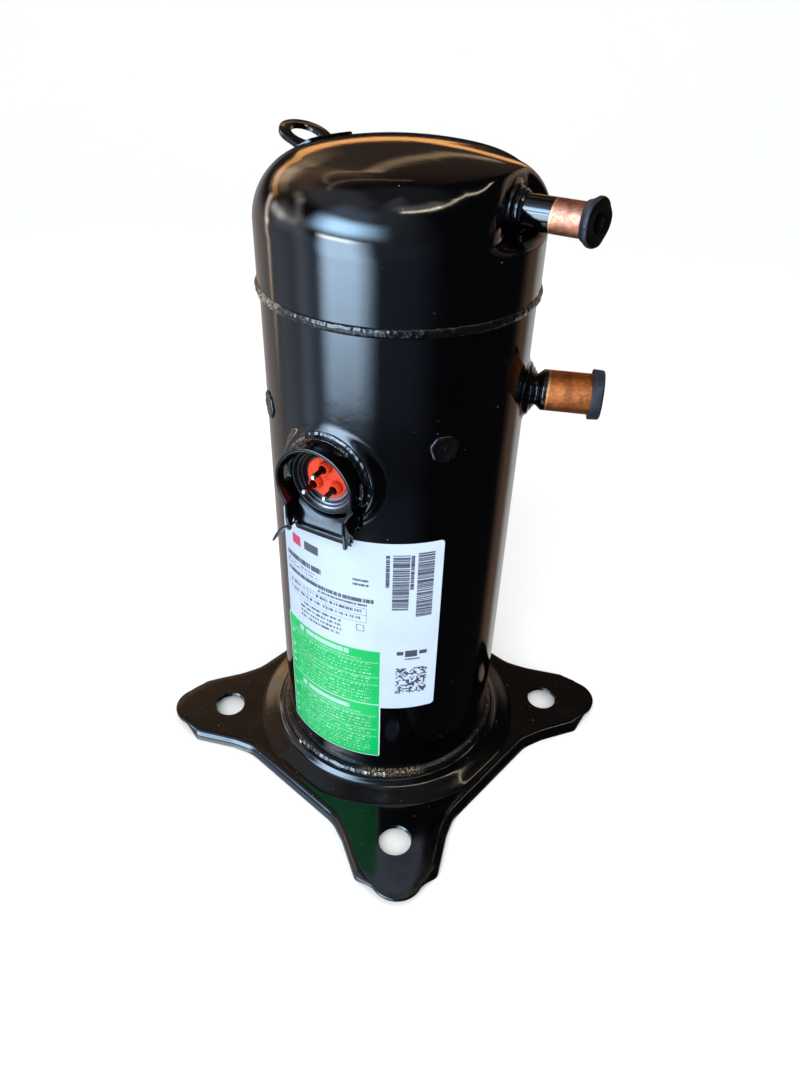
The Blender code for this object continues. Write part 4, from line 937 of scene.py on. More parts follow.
def foot_mesh():
    """The pressed sheet as rings of points: the inner collar's underside, out under the arms, round
    the turned-down skirt, and back over the arms to the collar's top. Depth is 1 where the skirt is
    full, between the arms, and 0 at the arms' tips, where the sheet stays flat."""
    line = arm_outline()
    ahead = np.roll(line, -1, axis=0) - np.roll(line, 1, axis=0)
    ahead /= np.linalg.norm(ahead, axis=1)[:, None]
    inward = np.stack([ahead[:, 1], -ahead[:, 0]], axis=1)
    inward *= np.sign(-(inward * line).sum(axis=1))[:, None]
    aside = np.minimum(np.abs(line[:, 0]), np.abs(line[:, 1]))
    depth = smoothstep(aside, 15.5, 26.5)
    fold = 0.5 + 3.9 * depth
    low = SKIRT * depth
    rows = []

    def at(inset, height):
        """A ring at a distance inside the outline."""
        inset = np.broadcast_to(inset, depth.shape)
        flat = line + inward * inset[:, None]
        rows.append(np.column_stack([flat, np.broadcast_to(height, depth.shape)]))

    edge = line + inward * 6.0
    azimuth = np.degrees(np.arctan2(*edge.T[::-1]))
    crease = np.minimum(93.5, np.linalg.norm(edge, axis=1) - 0.8)
    inner = direction(azimuth)[:, :2] * crease[:, None]

    def round_at(radius, height):
        """A ring at a distance from the shell's axis."""
        rows.append(polar(azimuth, radius, height))

    def between(share, height):
        """A ring from the collar's crease, at share 0, to the arms' flat edge, at share 1."""
        rows.append(np.column_stack([inner + (edge - inner) * share, np.full(len(line), height)]))

    round_at(74.8, 4.0)
    round_at(79.0, 2.4)
    for share in (0.35, 0.7, 1.0):
        round_at(80.0 + (crease - 80.0) * share, 2.2 * (1 - share) ** 1.5)
    for share in (0.3, 0.6, 0.85):
        between(share, 0.0)
    under = [(6.0, 0.0), (4.4, -0.05 * depth), (3.3, -0.5 * depth), (3.0, -1.3 * depth)]
    skirt = [(3.0, (low + 0.4) * depth), (2.7, low), (0.45, low), (0.1, low + 0.15), (0.0, low + 0.5)]
    for inset, height in under + skirt:
        at(inset, height)
    for k in range(9):
        turn = math.pi / 2 * k / 8
        at(fold * (1 - math.cos(turn)), 3.0 - fold * (1 - math.sin(turn)))
    at(6.0, 3.0)
    for share in (0.9, 0.75, 0.6, 0.45, 0.3, 0.15, 0.05, 0.0):
        between(share, 3.0)
    for share, height in ((0.94, 3.05), (0.86, 3.35), (0.7, 4.2), (0.5, 5.3), (0.3, 6.3), (0.16, 6.95)):
        round_at(78.8 + (crease - 78.8) * share, height)
    for radius, height in ((79.3, 7.9), (78.5, 9.6), (78.1, 10.7), (77.6, 11.1), (74.8, 11.1)):
        round_at(radius, height)
    points = np.array(rows)
    sag = bumpy(points, 26.0, 21, 2) * 0.22
    free = smoothstep(np.hypot(points[..., 0], points[..., 1]), 82.0, 100.0)
    points[..., 2] = np.maximum(points[..., 2] + sag * free, SKIRT)
    return solid(points)


def build_foot(paint):
    foot = foot_mesh()
    radius = abs(next(m["pos_m"][0] for m in RECORD["mounts"] if m["name"] == "foot_right")) / MM
    r = FOOT_HOLE_R
    profile = [
        (0, -8), (r + 0.6, -8), (r + 0.6, -0.3), (r, 0.3), (r, 2.5), (r + 0.8, 3.3), (r + 0.8, 8), (0, 8),
    ]
    profile = np.array(profile, float)
    turn = circle(64)
    holes = []
    for k in range(4):
        centre = radius * direction(90.0 * k)
        x = centre[0] + profile[None, :, 0] * np.cos(turn)
        y = centre[1] + profile[None, :, 0] * np.sin(turn)
        holes.append(solid(np.stack([x, y, profile[None, :, 1] + 0 * turn], axis=-1)))
    foot = cut(foot, holes, 42.0)
    piece("pressed_foot", foot, paint, nodes=["base_plate"])


# ---------------------------------------------------------------- pipes and covers


def leaning_cover_mesh():
    """The discharge pipe's flanged cover. Its flange is uneven, and leans as it sits on the pipe."""
    end, lean = DISCHARGE_END + 1.4, 12.0
    profile = [
        (end + 0.2, 0), (end + 0.2, 3.9), (98.0, 4.5), (100.5, 4.8), (100.6, 10.6), (100.0, 11.1),
        (98.4, 11.1), (97.2, 10.3), (96.2, 9.7), (93.8, 8.8), (93.8, 8.0), (96.6, 8.0), (96.6, 0),
    ]
    profile = rounded(profile, [0, 0.5, 0.6, 0.7, 0.6, 0.6, 0.9, 1.0, 1.5, 0.4, 0.1, 0.1, 0], 3)
    out, reach = profile[None, :, 0], profile[None, :, 1]
    turn = circle(80)
    lip = smoothstep(reach, 9.0, 11.0) * smoothstep(out, 95.5, 98.4)
    reach = reach * (1.0 + lip * (0.012 * np.sin(5 * turn + 1) + 0.01 * np.sin(9 * turn)))
    out = out + lip * (0.25 * np.sin(4 * turn + 2))
    across = reach * np.cos(turn)
    tilt = math.radians(lean) * smoothstep(out, 94.5, 97.0)
    leaned = end + (out - end) * np.cos(tilt) + across * np.sin(tilt)
    across = across * np.cos(tilt) - (out - end) * np.sin(tilt)
    return solid(placed(DISCHARGE, leaned, across, reach * np.sin(turn)))


def build_pipes(paint):
    r, end = DISCHARGE_R, DISCHARGE_END
    tube = rounded([(end, r - 1.0), (end, r), (53.0, r), (53.0, r - 1.0)], [0.35, 0.35, 0.2, 0.2])
    bare = copper("discharge_copper", DISCHARGE, 79.2, 0.08, (0.50, 0.195, 0.12))
    piece("discharge_pipe", turned(DISCHARGE, tube), bare, nodes=["discharge_tube"])
    collar = [
        (57.5, 8.02), (66.6, 8.02), (66.2, 8.5), (65.2, 8.9), (64.6, 9.7), (63.6, 9.9), (63.0, 9.5),
        (62.6, 10.3), (61.6, 11.2), (60.6, 11.4), (60.0, 13.6), (57.5, 13.8),
    ]
    collar = rounded(collar, [0, 0.3, 0.5, 0.5, 0.4, 0.5, 0.3, 0.5, 0.6, 0.5, 1.4, 0])
    boss = turned(DISCHARGE, collar, 96)
    piece("discharge_boss", boss, paint, nodes=["discharge_collar"])
    black = rubber("cover_rubber")
    cover = leaning_cover_mesh()
    piece("discharge_cover_cap", cover, black, "discharge_cover", ["discharge_plug"])

    r, end, neck = SUCTION_R, SUCTION_END, SUCTION_NECK_R
    tube = [
        (end, r), (81.2, r), (78.3, neck), (66.5, neck), (66.5, neck - 1.0), (78.5, neck - 1.0),
        (81.5, r - 1.0), (end, r - 1.0),
    ]
    tube = rounded(tube, [0.35, 1.6, 1.4, 0.2, 0.2, 1.0, 1.0, 0.3], 5)
    bare = copper("suction_copper", SUCTION, 83.4, 0.02, (0.50, 0.14, 0.04))
    piece("suction_pipe", turned(SUCTION, tube), bare, nodes=["suction_tube"])
    collar = [
        (70.0, 8.7), (77.5, 8.7), (77.3, 9.5), (76.4, 10.3), (76.1, 11.4), (75.2, 12.2), (74.2, 14.2),
        (70.0, 16.0),
    ]
    collar = rounded(collar, [0, 0.3, 0.4, 0.4, 0.5, 0.6, 0.9, 0])
    piece("suction_boss", turned(SUCTION, collar), paint, nodes=["suction_collar"])
    cover = [
        (113.4, 0), (113.2, 12.6), (112.5, 13.3), (106.9, 13.6), (106.9, 11.2), (112.1, 11.2),
        (112.1, 0),
    ]
    cover = turned(SUCTION, rounded(cover, [0, 0.9, 0.9, 0.5, 0.1, 0.1, 0], 4))
    piece("suction_cover_cap", cover, black, "suction_cover", ["suction_plug"])


# ---------------------------------------------------------------- electrical terminal


def fence_path():
    """Middle line of the guard's band, from the right leg's end over the arch to the left leg's."""
    meet = math.degrees(math.acos(LEG / FENCE_R))
    arch = arc((0.0, 0.0), FENCE_R, np.linspace(-meet, 180.0 + meet, 90))
    right = [(LEG, v) for v in np.linspace(LEG_END, arch[0][1], 14)[:-1]]
    left = [(-LEG, v) for v in np.linspace(arch[-1][1], LEG_END, 14)[1:]]
    return np.array(right + arch + left)


def guard_band():
    """The band on edge, from the seat to the guard's face, with a window on each side and a notch
    at each leg's end. The legs' ends stand off the seat."""
    path = fence_path()
    ahead = np.gradient(path, axis=0)
    ahead /= np.linalg.norm(ahead, axis=1)[:, None]
    side = np.stack([ahead[:, 1], -ahead[:, 0]], axis=1)
    half = 0.95
    section = rounded([(-half, 0.0), (half, 0.0), (half, 1.0), (-half, 1.0)], [0.2, 0.2, 0.35, 0.35], 4)
    depth = section[:, 1]
    rows = []
    for (u, v), (a, b) in zip(path, side):
        low = PAD_FACE + 0.1
        if abs(u) > LEG - 0.1:
            low += 4.5 * (1.0 - smoothstep(v, -29.0, -18.0))
        high = FENCE_FACE - 0.8 * (1.0 - smoothstep(v, LEG_END, LEG_END + 9.0))
        out = np.where(depth < 0.5, low + 0.57 * depth, high - 1.9 * (1.0 - depth))
        rows.append(placed(TERMINAL, out, u + a * section[:, 0], v + b * section[:, 0]))
    window = rounded([(75.8, -4.5), (81.4, -4.5), (81.4, 5.5), (75.8, 5.5)], 0.8, 3)
    notch = [
        (79.0, LEG_END - 4), (83.6, LEG_END - 4), (83.6, LEG_END + 3), (81.0, LEG_END + 6.5),
        (79.0, LEG_END + 4),
    ]
    return cut(bar(rows), [crossbar(TERMINAL, line, -32.0, 32.0) for line in (window, notch)], 30.0)


def guard_hook():
    """The tapering strip that curls down and outwards from the left leg, with a twist."""
    steps = 14
    rows = []
    for k in range(steps + 1):
        t = k / steps
        across = -17.3 - 13.4 * t**0.8
        up = -29.5 - 15.8 * t**1.15
        twist = math.radians(8.0 + 66.0 * t)
        wide = 3.1 * (1 - t) ** 0.8 + 0.45
        thick = 0.65 * (1 - 0.4 * t)
        corners = rounded([(-wide, -thick), (wide, -thick), (wide, thick), (-wide, thick)], 0.3, 2)
        out = 83.0 + corners[:, 0] * math.cos(twist)
        rise = corners[:, 0] * math.sin(twist) * 0.7
        rows.append(placed(TERMINAL, out, across - corners[:, 1] * 0.75, up + rise + corners[:, 1] * 0.66))
    return bar(rows)


def build_guard(paint):
    tab = rounded([(75.2, 0), (78.6, 0), (79.6, 8.2), (76.0, 8.8)], 0.7, 3) - (0, 20.5)
    guard = joined([guard_band(), crossbar(TERMINAL, tab, 18.2, 23.0), guard_hook()], 30.0)
    piece("terminal_guard", guard, paint, nodes=["terminal_fence"])

    # The apron between the legs. Its face is (out, how far down), and goes past its lower edge.
    face = np.array([
        (73.4, 0.0), (74.4, 0.05), (75.2, 0.12), (75.9, 0.20), (76.5, 0.29), (76.9, 0.40), (77.25, 0.60),
        (77.7, 0.80), (78.8, 0.94), (80.0, 0.99), (80.3, 1.04), (80.2, 1.10), (79.6, 1.26), (78.7, 1.46),
    ])
    half, lower = 17.2, -29.8
    across = np.linspace(-half, half, 41)[:, None]
    top = -np.sqrt(np.maximum(21.3**2 - across**2, 12.0**2))
    down = face[None, :, 1]
    up = np.where(down > 1.0, lower - (down - 1.0) * 10.0, top + (lower - top) * down)
    out = face[None, :, 0] - 0.35 * (np.abs(across) / half) ** 2
    front = placed(TERMINAL, out, across + 0 * up, up)
    back = placed(TERMINAL, out - 1.2, across + 0 * up, up - 0.25)[:, ::-1]
    sheet = bar(np.concatenate([front, back], axis=1))
    piece("guard_apron", sheet, enamel("apron_enamel", 0.16, 0.02, 1.5, 0.0, 0.32))

    # The weld round the arch, thinner towards its ends.
    turn = np.radians(np.linspace(-30.0, 210.0, 150))[:, None]
    first, last = turn.min(), turn.max()
    ends = smoothstep(turn, first, first + 0.25) * (1 - smoothstep(turn, last - 0.25, last))
    fillet = [
        (72.4, 22.4), (72.6, 26.4), (73.5, 26.2), (74.0, 24.8), (75.2, 23.7), (76.0, 23.3), (76.0, 22.4),
    ]
    fillet = rounded(fillet, 0.5, 3)
    reach = 22.4 + (fillet[None, :, 1] - 22.4) * (0.25 + 0.75 * ends)
    points = placed(TERMINAL, fillet[None, :, 0] + 0 * turn, reach * np.cos(turn), reach * np.sin(turn))
    points += direction(TERMINAL_AZ) * (bumpy(points, 2.4, 31) * 0.35)[..., None]
    piece("guard_bead", bar(points), paint)


def build_terminal():
    face = PAD_FACE + 0.1
    cup = [
        (67.0, 0), (67.0, 16.0), (face, 16.0), (face, 17.2), (77.0, 18.9), (77.8, 18.7), (77.6, 17.8),
        (76.0, 16.7), (75.6, 15.7), (74.6, 15.2), (74.2, 14.3), (73.2, 13.8), (72.4, 12.9), (72.3, 0),
    ]
    cup = rounded(cup, [0, 0.2, 0.2, 0.4, 0.3, 0.3, 0.4, 0.4, 0.3, 0.3, 0.3, 0.3, 0.5, 0], 3)
    silver = plated("cup_steel", (0.16, 0.175, 0.20), 0.34, TERMINAL, 2.2, rim=17.0)
    piece("terminal_cup", turned(TERMINAL, cup, 96), silver, nodes=["terminal_body"])

    centres = [(across, up) for up, across in arc((0.0, 0.0), PIN_CIRCLE, (0.0, 120.0, 240.0))]
    disc = [
        (71.0, 0), (71.0, 12.2), (72.9, 12.2), (73.4, 11.4), (73.2, 8.0), (73.2, 1.5), (72.6, 0.9),
        (72.6, 0),
    ]
    disc = rounded(disc, [0, 0.2, 0.5, 0.4, 0.4, 0.4, 0.3, 0], 3)
    sleeve = [
        (71.5, PIN_R + 0.01), (71.5, 3.6), (73.2, 3.45), (76.8, 3.1), (77.3, 2.85), (77.2, 2.3),
        (74.2, 2.1), (74.0, PIN_R + 0.01),
    ]
    sleeve = rounded(sleeve, [0, 0, 0.3, 0.3, 0.2, 0.3, 0.2, 0], 3)
    parts = [turned(TERMINAL, disc, 80)] + [turned(TERMINAL, sleeve, 40, centre) for centre in centres]
    orange = insulator("orange_insulator")
    piece("terminal_disc", joined(parts), orange, nodes=["terminal_insulator"])

    tipped = plated("pin_steel", (0.80, 0.79, 0.76), 0.22, TERMINAL, 1.0, 85.0)
    pin = [(56.0, 0), (56.0, PIN_R), (85.7, PIN_R), (86.5, 0.9), (86.6, 0)]
    pin = rounded(pin, [0, 0.2, 0.7, 0.5, 0], 3)
    for i, centre in enumerate(centres, 1):
        mesh = turned(TERMINAL, pin, 24, centre)
        piece(f"pin_{i}", mesh, tipped, nodes=[f"terminal_pin_{i}"])


# ---------------------------------------------------------------- lifting eye


def eye_mesh():
    """The flat loop of sheet, with a wide flat end where it meets the cap."""
    tilt = math.radians(EYE_SLOPE)
    outer = [(-1.6, 13.2)] + arc((EYE_CENTRE, 0.0), EYE_R, np.linspace(104.0, -104.0, 40)) + [(-1.6, -13.2)]
    turn = circle(48)[:, 0]
    hole = np.stack([EYE_HOLE[0] * np.cos(turn), EYE_HOLE[1] * np.sin(turn)], axis=1)
    centre = np.array([EYE_CENTRE, 0.0])

    def layer(spokes, drop, grow):
        """An outline, as spokes from the loop's centre, at a distance down through the sheet."""
        spokes = spokes + spokes / np.linalg.norm(spokes, axis=1)[:, None] * grow
        line = centre + spokes
        out = EYE_ROOT[0] + line[:, 0] * math.cos(tilt) + drop * math.sin(tilt)
        rise = EYE_ROOT[1] + line[:, 0] * math.sin(tilt) - drop * math.cos(tilt)
        return polar(EYE_AZ, out, rise) + direction(EYE_AZ + 90.0) * line[:, 1:2]

    edges = ((0.0, -0.5), (0.12, -0.15), (0.5, 0.0), (2.2, 0.0), (2.58, -0.15), (2.7, -0.5))
    flares = ((-1.0, 1.2), (0.0, 0.5), (0.4, 0.0), (2.3, 0.0), (2.7, 0.5), (3.7, 1.2))
    loop = bar([layer(np.array(outer) - centre, drop, grow) for drop, grow in edges])
    cutter = bar([layer(hole, drop, grow) for drop, grow in flares])
    return cut(loop, [cutter], 32.0)


def cap_point(radius):
    """Height of the plain cap above a radius, and how steeply it falls there."""
    reach = CAP_R - PLAIN["corner"]
    turn = math.acos(min(1.0, max(-1.0, (radius - reach) / PLAIN["corner"])))
    return PLAIN["start"] + PLAIN["corner"] * math.sin(turn), math.pi / 2 - turn


def strap_foot():
    """The strip that is welded on the cap, which runs out to a thin end on one side."""
    rows = []
    for u in np.linspace(-13.0, 24.0, 30):
        fade = 1.0 - smoothstep(u, 19.0, 24.5)
        width = 2.0 + 7.5 * fade * (1.0 - smoothstep(-u, 10.0, 14.0) * 0.4)
        row = []
        for side, full in ((-1, -0.9), (-1, 0.9), (-0.9, 1.4), (0.9, 1.4), (1, 0.9), (1, -0.9)):
            lift = full * (0.15 + 0.85 * fade)
            spread = 54.0 + side * width * 0.9
            height, slope = cap_point(min(math.hypot(spread, u * 0.9), 70.0))
            base = spread * direction(EYE_AZ) + u * 0.9 * direction(EYE_AZ + 90.0)
            away = base / np.linalg.norm(base)
            row.append(base + away * lift * math.sin(slope) + (0, 0, height + lift * math.cos(slope)))
        rows.append(row)
    return bar(rows)


def strap_rib(side):
    """The rounded fold at one side of the loop, where its sheet bends up off the cap."""
    turn = circle(12)
    ahead = direction(EYE_AZ + 90.0)
    rows = []
    for t in np.linspace(0.0, 1.0, 9):
        rise = 377.2 - 2.4 * t * (1 - t) + 1.6 * t**2
        base = (55.5 + 6.5 * t) * direction(EYE_AZ) + side * 11.6 * ahead + (0, 0, rise)
        rows.append(base + ahead * (1.9 * np.cos(turn)) + np.array([0, 0, 1.5]) * np.sin(turn))
    return bar(rows)


def build_eye(paint):
    strap = joined([strap_foot(), strap_rib(-1), strap_rib(1)], 40.0)
    piece("lifting_loop", eye_mesh(), paint, nodes=["lifting_eye"])
    piece("lifting_strap", strap, paint)


# ---------------------------------------------------------------- labels and small parts


def film_mesh(azimuths, heights, lift, corner):
    """A film with rounded corners, wrapped on the shell."""
    scale = math.radians(1.0) * SHELL_R
    left, right = azimuths
    ease = corner / scale * (1 - np.cos(np.radians(np.arange(0, 91, 15))))
    turns = np.concatenate([stations(left, right, 1.5), left + ease, right - ease])
    turns = np.unique(np.round(turns, 4))
    edge = np.minimum(turns - left, right - turns) * scale
    inset = corner - np.sqrt(np.maximum(corner**2 - np.maximum(corner - edge, 0.0) ** 2, 0.0))
    share = np.linspace(0.0, 1.0, 40)
    low, high = heights[0] + inset, heights[1] - inset
    rise = low[:, None] + (high - low)[:, None] * share[None, :]
    base = shell_radius(turns[:, None], rise) + lift
    outer = polar(turns[:, None], base + 0.12, rise)
    inner = polar(turns[:, None], base, rise)[:, ::-1]
    return bar(np.concatenate([outer, inner], axis=1))


def build_labels():
    white, green = rating_film("rating_print"), caution_film("notice_print")
    rating = film_mesh(RATING_AZ, RATING_Z, 0.06, 2.4)
    piece("rating_sheet", rating, white, nodes=["rating_label"])
    caution = film_mesh(CAUTION_AZ, CAUTION_Z, 0.20, 1.6)
    piece("notice_sheet", caution, green, nodes=["caution_label"])


def build_nub(paint):
    """A small lug in the foot weld, with a bare stud in it."""
    port = (-144.0, 11.2)
    turn = circle(40)
    profile = [(70.0, 0.0), (76.6, 0.0), (76.5, 3.0), (75.4, 4.4), (70.0, 4.8)]
    profile = rounded(profile, [0, 0, 1.0, 1.0, 0], 4)
    across, up = profile[None, :, 1] * np.cos(turn), profile[None, :, 1] * np.sin(turn)
    points = placed(port, profile[None, :, 0] + 0 * turn, 1.5 * across, 0.75 * up)
    points += direction(port[0]) * (bumpy(points, 2.5, 44) * 0.4)[..., None]
    piece("foot_lug", solid(points), paint)
    stud = rounded([(74.0, 0), (77.6, 0), (77.5, 1.2), (77.1, 1.7), (74.0, 1.8)], [0, 0, 0.4, 0.4, 0], 3)
    stud = turned((port[0] - 1.0, 12.0), stud, 24)
    piece("foot_lug_stud", stud, brass("stud_brass"))


# ---------------------------------------------------------------- inner works


def dress_cad_nodes(paint, weld):
    """Materials for the CAD nodes that stay as they are."""
    inner = {
        "pressed_steel": ((0.42, 0.42, 0.43), 0.32, 0.8),
        "grey_iron": ((0.20, 0.20, 0.21), 0.5, 1.5, 0.9, 0.12),
        "machined_steel": ((0.58, 0.58, 0.6), 0.22, 1.0, 1.0, 0.02, 2.0),
        "light_alloy": ((0.66, 0.67, 0.69), 0.3, 1.2),
        "bearing_bronze": ((0.58, 0.38, 0.17), 0.34, 1.0),
        "lamination": ((0.30, 0.31, 0.33), 0.4, 1.0, 0.9, 0.06, 1.4),
        "copper_winding": ((0.55, 0.19, 0.07), 0.35, 0.6, 0.7, 0.5, 0.5),
        "dark_polymer": ((0.03, 0.03, 0.033), 0.45, 1.0, 0.0, 0.05),
        "magnet": ((0.09, 0.09, 0.095), 0.5, 1.6, 0.4, 0.08),
    }
    looks = {"shell_paint": paint, "weld_paint": weld}
    looks.update({slot: metal(slot, *values) for slot, values in inner.items()})
    slots = {part["node"]: part["material_slot"] for part in RECORD["subparts"]}
    for name, node in frame["nodes"].items():
        if node.hide_render:
            continue
        node.data.materials.clear()
        node.data.materials.append(looks.get(slots.get(name), looks["pressed_steel"]))


# ---------------------------------------------------------------- surroundings


def build_world():
    """Pale studio light for the eye and for matt surfaces. Gloss sees a room with a tall window
    at the front left, a warm wall behind, a lamp tube overhead and dark surroundings elsewhere."""
    world = bpy.data.worlds.new("studio")
    bpy.context.scene.world = world
    world.use_nodes = True
    n = Nodes(world.node_tree)
    n.tree.nodes.clear()
    x, y, z = n.split(n.val(n.node("TexCoord"), "Generated"))
    elevation = n.math("ARCSINE", n.math("MAXIMUM", n.math("MINIMUM", z, 1.0), -1.0)) * math.degrees(1.0)
    turn = n.math("ARCTAN2", y, x) * math.degrees(1.0)
    azimuth = turn + (turn < 60.0) * 360.0

    def stroke(start, end, width, soft):
        """A thin straight light between two (azimuth, elevation) points."""
        middle_el = math.radians((start[1] + end[1]) / 2)
        squeeze = math.cos(middle_el)
        ax, ay = start[0] * squeeze, start[1]
        bx, by = end[0] * squeeze, end[1]
        dx, dy = bx - ax, by - ay
        length = dx * dx + dy * dy
        px, py = azimuth * squeeze - ax, elevation - ay
        t = n.math("MAXIMUM", n.math("MINIMUM", (px * dx + py * dy) / length, 1.0), 0.0)
        gap_x, gap_y = px - t * dx, py - t * dy
        gap = n.math("SQRT", gap_x * gap_x + gap_y * gap_y)
        return 1.0 - n.smooth(gap, width - soft, width + soft)

    lights = []

    def shine(mask, colour):
        lights.append(n.scaled(n.vector(mask, mask, mask), colour))

    def patch(sideways, upright, colour):
        """A soft rectangle between azimuths and elevations, each as (low, high, softness)."""
        shine(n.band(azimuth, *sideways) * n.band(elevation, *upright), colour)

    # dark surroundings, and a dim bluish front
    shine(azimuth * 0.0 + 1.0, (0.012, 0.013, 0.017))
    front = n.band(azimuth, 236, 290, 14) * (1.0 - n.band(elevation, -33.5, -28.5, 1.5) * 0.65)
    sky = front * n.smooth(elevation, -60, 70) * (1.0 - n.smooth(azimuth, 250, 290) * 0.6)
    shine(sky, (0.42, 0.50, 0.62))
    shine(front * n.band(elevation, -80, 10, 12), (0.08, 0.12, 0.20))
    shine(n.smooth(elevation, 62, 80), (0.16, 0.16, 0.17))
    # tall window at the front left, its upper part, and the cream edge between them
    side = n.smooth(azimuth, 199.0, 214.0) * (1.0 - n.smooth(azimuth + elevation * 0.12, 228.0, 251.0))
    fade = n.smooth(elevation, -36.0, -12.0) * (n.smooth(elevation, -28.3, -26.8) * 0.85 + 0.15)
    shine(side * fade * (1.0 - n.smooth(elevation, 10.0, 14.0)), (10.0, 13.8, 18.2))
    upper = n.smooth(azimuth, 184.0, 214.0) * (1.0 - n.smooth(azimuth, 218.0, 262.0))
    shine(upper * n.band(elevation, 18.0, 37.0, 7.0), (12.5, 20.0, 28.0))
    cream = n.smooth(azimuth, 199.0, 208.0) * (1.0 - n.smooth(azimuth, 222.0, 240.0))
    shine(cream * n.band(elevation, 8.0, 12.6, 1.5), (14.0, 13.6, 11.5))
    # warm wall behind, with its floor line
    glow = n.smooth(azimuth, 93, 106)
    floor_line = elevation - glow * 9.5
    warm = n.band(azimuth, 60, 142, 6.0)
    shine(warm * n.band(floor_line, 6.4, 11.6, 1.0), (2.2, 1.0, 0.32))
    shine(warm * glow * n.band(floor_line, 13.2, 21.0, 1.4), (0.85, 0.62, 0.34))
    for sideways, upright, colour in (
        # over and under the window
        ((196, 240, 10.0), (38, 56, 10.0), (0.8, 1.1, 1.7)),
        ((192, 253, 8.0), (-64, -38.5, 2.0), (2.6, 3.0, 3.0)),
        ((150, 225, 16.0), (42, 72, 7.0), (0.5, 0.52, 0.6)),
        # left of the window
        ((154, 192, 8.0), (3, 22, 7.0), (1.1, 1.15, 1.3)),
        ((154, 192, 8.0), (-80, 3, 6.0), (0.50, 0.56, 0.70)),
        ((183, 207, 7.0), (-80, 6, 6.0), (0.50, 0.66, 0.92)),
        ((100, 152, 8.0), (-60, 2, 8.0), (0.50, 0.45, 0.42)),
        # warm wall
        ((60, 150, 8.0), (14, 60, 8.0), (0.09, 0.055, 0.035)),
        ((95, 160, 9.0), (24, 62, 8.0), (0.14, 0.095, 0.065)),
        ((96, 150, 6.0), (34, 48, 6.0), (0.34, 0.20, 0.11)),
        ((114, 132, 5.0), (15, 33, 5.0), (1.5, 1.15, 0.75)),
        # right-hand side
        ((383, 418, 8.0), (2, 26, 6.0), (0.7, 0.5, 0.38)),
        ((383, 400, 8.0), (-60, 4, 8.0), (0.34, 0.20, 0.13)),
        ((402, 430, 7.0), (-70, 2, 6.0), (0.75, 0.75, 0.72)),
        ((60, 70, 6.0), (-70, 2, 6.0), (0.75, 0.75, 0.72)),
    ):
        patch(sideways, upright, colour)
    door_edge = stroke((147, -40), (147, -2), 1.8, 1.6)
    shine(door_edge * n.smooth(elevation, -27.0, -13.0), (2.8, 2.1, 1.6))
    for start, end, width, soft, colour in (
        # beams on the warm wall
        ((76, 17), (92, 35), 1.3, 1.0, (0.95, 0.66, 0.36)),
        ((92, 35), (132, 52), 1.3, 1.0, (0.8, 0.56, 0.36)),
        ((84, 55), (150, 55.5), 1.2, 1.0, (0.95, 0.68, 0.44)),
        # cream edges between the wall and the window
        ((147, -2), (139, 13), 2.4, 2.2, (4.2, 3.5, 3.0)),
        ((150, 12), (162, 12), 3.6, 4.0, (3.4, 3.1, 2.9)),
        ((162, 12), (178, 14), 3.0, 4.0, (1.5, 1.45, 1.45)),
        ((154, 36), (164, 35), 3.0, 3.0, (1.3, 1.1, 0.95)),
        ((164, 35), (181, 20), 3.2, 3.2, (1.2, 1.1, 1.05)),
        # lamp tube overhead, and its glow
        ((270, 62.8), (322, 64.4), 1.3, 1.1, (17.0, 15.0, 11.0)),
        ((322, 64.4), (359, 63.6), 1.1, 0.9, (9.0, 8.0, 5.8)),
        ((359, 63.6), (395, 55.0), 0.9, 0.7, (9.5, 8.6, 6.4)),
        ((270, 68), (330, 69), 4.0, 3.5, (1.4, 1.4, 1.4)),
    ):
        shine(stroke(start, end, width, soft), colour)
    total = lights[0]
    for light in lights[1:]:
        total = n.val(n.node("VectorMath", {0: total, 1: light}, operation="ADD"))
    path = n.node("LightPath")
    room = n.node("Background", {"Color": total, "Strength": 1.0})
    pale = n.mix((0.93, 0.94, 0.95), (1.0, 1.0, 1.0), n.smooth(elevation, -20.0, 75.0))
    studio = n.node("Background", {"Color": pale, "Strength": 1.0})
    shader = n.node("MixShader")
    n.tree.links.new(path.outputs["Is Glossy Ray"], shader.inputs[0])
    n.tree.links.new(studio.outputs[0], shader.inputs[1])
    n.tree.links.new(room.outputs[0], shader.inputs[2])
    output = n.node("OutputWorld")
    n.tree.links.new(shader.outputs[0], output.inputs[0])


def build_floor():
    """A pale sweep that the object stands on."""
    front, bend, sweep, wall, half = -2.6, 1.4, 1.2, 3.2, 4.0
    curve = [(bend + sweep * math.sin(t), sweep - sweep * math.cos(t)) for t in np.linspace(0.1, 1.5, 16)]
    profile = [(front, 0.0), (bend, 0.0)] + curve + [(bend + sweep, wall)]
    points = [(x, y, z) for y, z in profile for x in (-half, half)]
    faces = [(2 * i, 2 * i + 1, 2 * i + 3, 2 * i + 2) for i in range(len(profile) - 1)]
    mesh = bpy.data.meshes.new("studio_floor")
    mesh.from_pydata(points, [], faces)
    mesh.shade_smooth()
    p = Paint("floor_paper")
    tone = p.mix((0.93, 0.93, 0.93), (0.90, 0.90, 0.90), p.noise(p.raw, 0.004, 3.0))
    mesh.materials.append(p.set(Base_Color=tone, Roughness=0.9))
    floor = bpy.data.objects.new("studio_floor", mesh)
    bpy.context.scene.collection.objects.link(floor)
    floor.visible_glossy = False


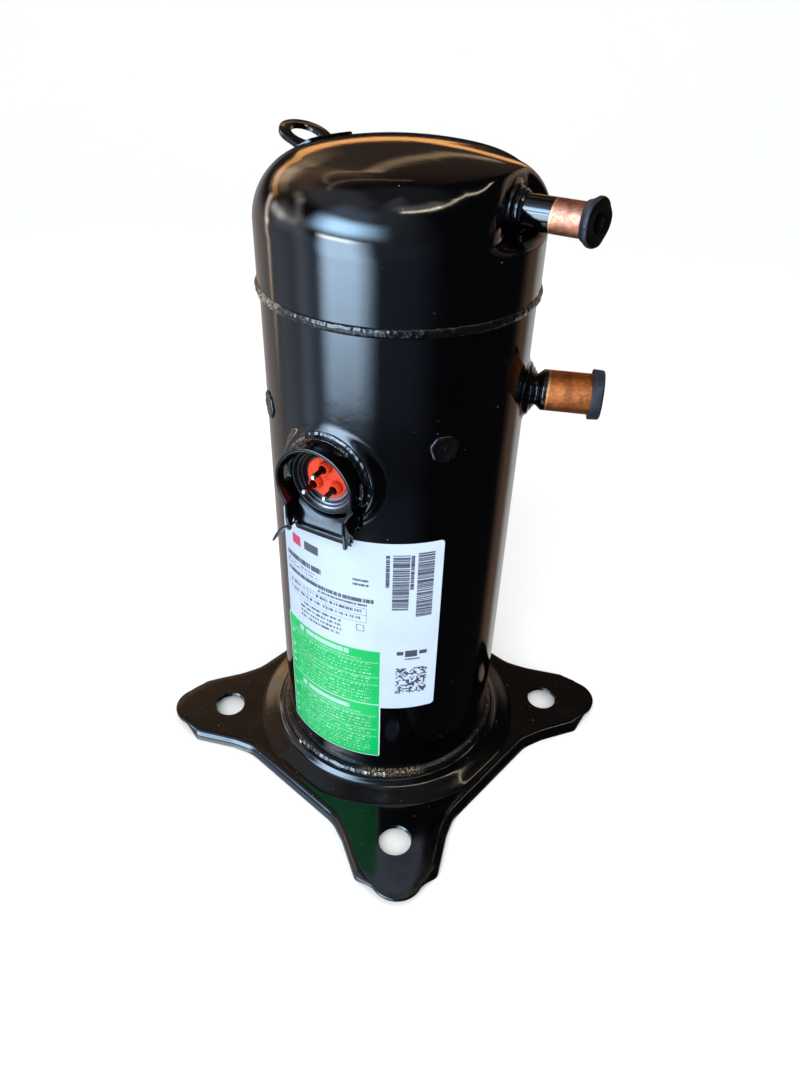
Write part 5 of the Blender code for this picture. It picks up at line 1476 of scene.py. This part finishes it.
def add_light(name, azimuth, elevation, distance, size, power, colour):
    """A soft disk that looks at the object's middle. Gloss doesn't see it."""
    target = Vector((0.0, 0.0, 0.2))
    data = bpy.data.lights.new(name, "AREA")
    data.shape = "DISK"
    data.size = size
    data.energy = power
    data.color = colour
    made = bpy.data.objects.new(name, data)
    rise = math.radians(elevation)
    back = Vector(direction(azimuth)) * math.cos(rise) + Vector((0, 0, math.sin(rise)))
    made.location = target + back * distance
    made.rotation_mode = "QUATERNION"
    made.rotation_quaternion = back.to_track_quat("Z", "Y")
    made.visible_glossy = False
    bpy.context.scene.collection.objects.link(made)


def build_lights():
    add_light("key", -112, 42, 1.6, 1.1, 17.0, (0.94, 0.98, 1.0))
    add_light("fill", -35, 30, 1.8, 1.3, 5.0, (1.0, 0.97, 0.93))


def build_camera():
    """The photograph's angle: from the front, well above, and slightly rolled."""
    azimuth, elevation, roll = -90.0 - 4.153, math.radians(35.872), 0.0343
    distance = 513.61 * MM
    target = Vector((5.036, 0.0, 158.76 + FOOT_Z)) * MM
    back = Vector(direction(azimuth)) * math.cos(elevation) + Vector((0, 0, math.sin(elevation)))
    x = Vector((0, 0, 1)).cross(back).normalized()
    y = back.cross(x)
    c, s = math.cos(roll), math.sin(roll)
    x, y = c * x + s * y, -s * x + c * y
    data = bpy.data.cameras.new("camera")
    data.lens = 27.021
    data.sensor_width = 36.0
    data.clip_start = 0.01
    data.clip_end = 50.0
    made = bpy.data.objects.new("camera", data)
    bpy.context.scene.collection.objects.link(made)
    turned_to = Matrix((x, y, back)).transposed().to_4x4()
    made.matrix_world = Matrix.Translation(target + back * distance) @ turned_to
    bpy.context.scene.camera = made


def build():
    shell_paint = enamel("shell_enamel", 0.07, 0.012)
    foot_paint = enamel("foot_enamel", 0.10, 0.10, 1.2, 0.35)
    small_paint = enamel("fitting_enamel", 0.08, 0.03, 0.8)
    weld = weld_paint("weld_enamel")
    build_shell(shell_paint)
    build_cap(shell_paint)
    build_welds(weld)
    build_foot(foot_paint)
    build_pipes(small_paint)
    build_terminal()
    build_guard(small_paint)
    build_eye(small_paint)
    build_labels()
    build_nub(weld)
    dress_cad_nodes(shell_paint, weld)
    build_world()
    build_floor()
    build_lights()
    build_camera()
    bpy.context.scene.view_settings.view_transform = "Standard"


build()
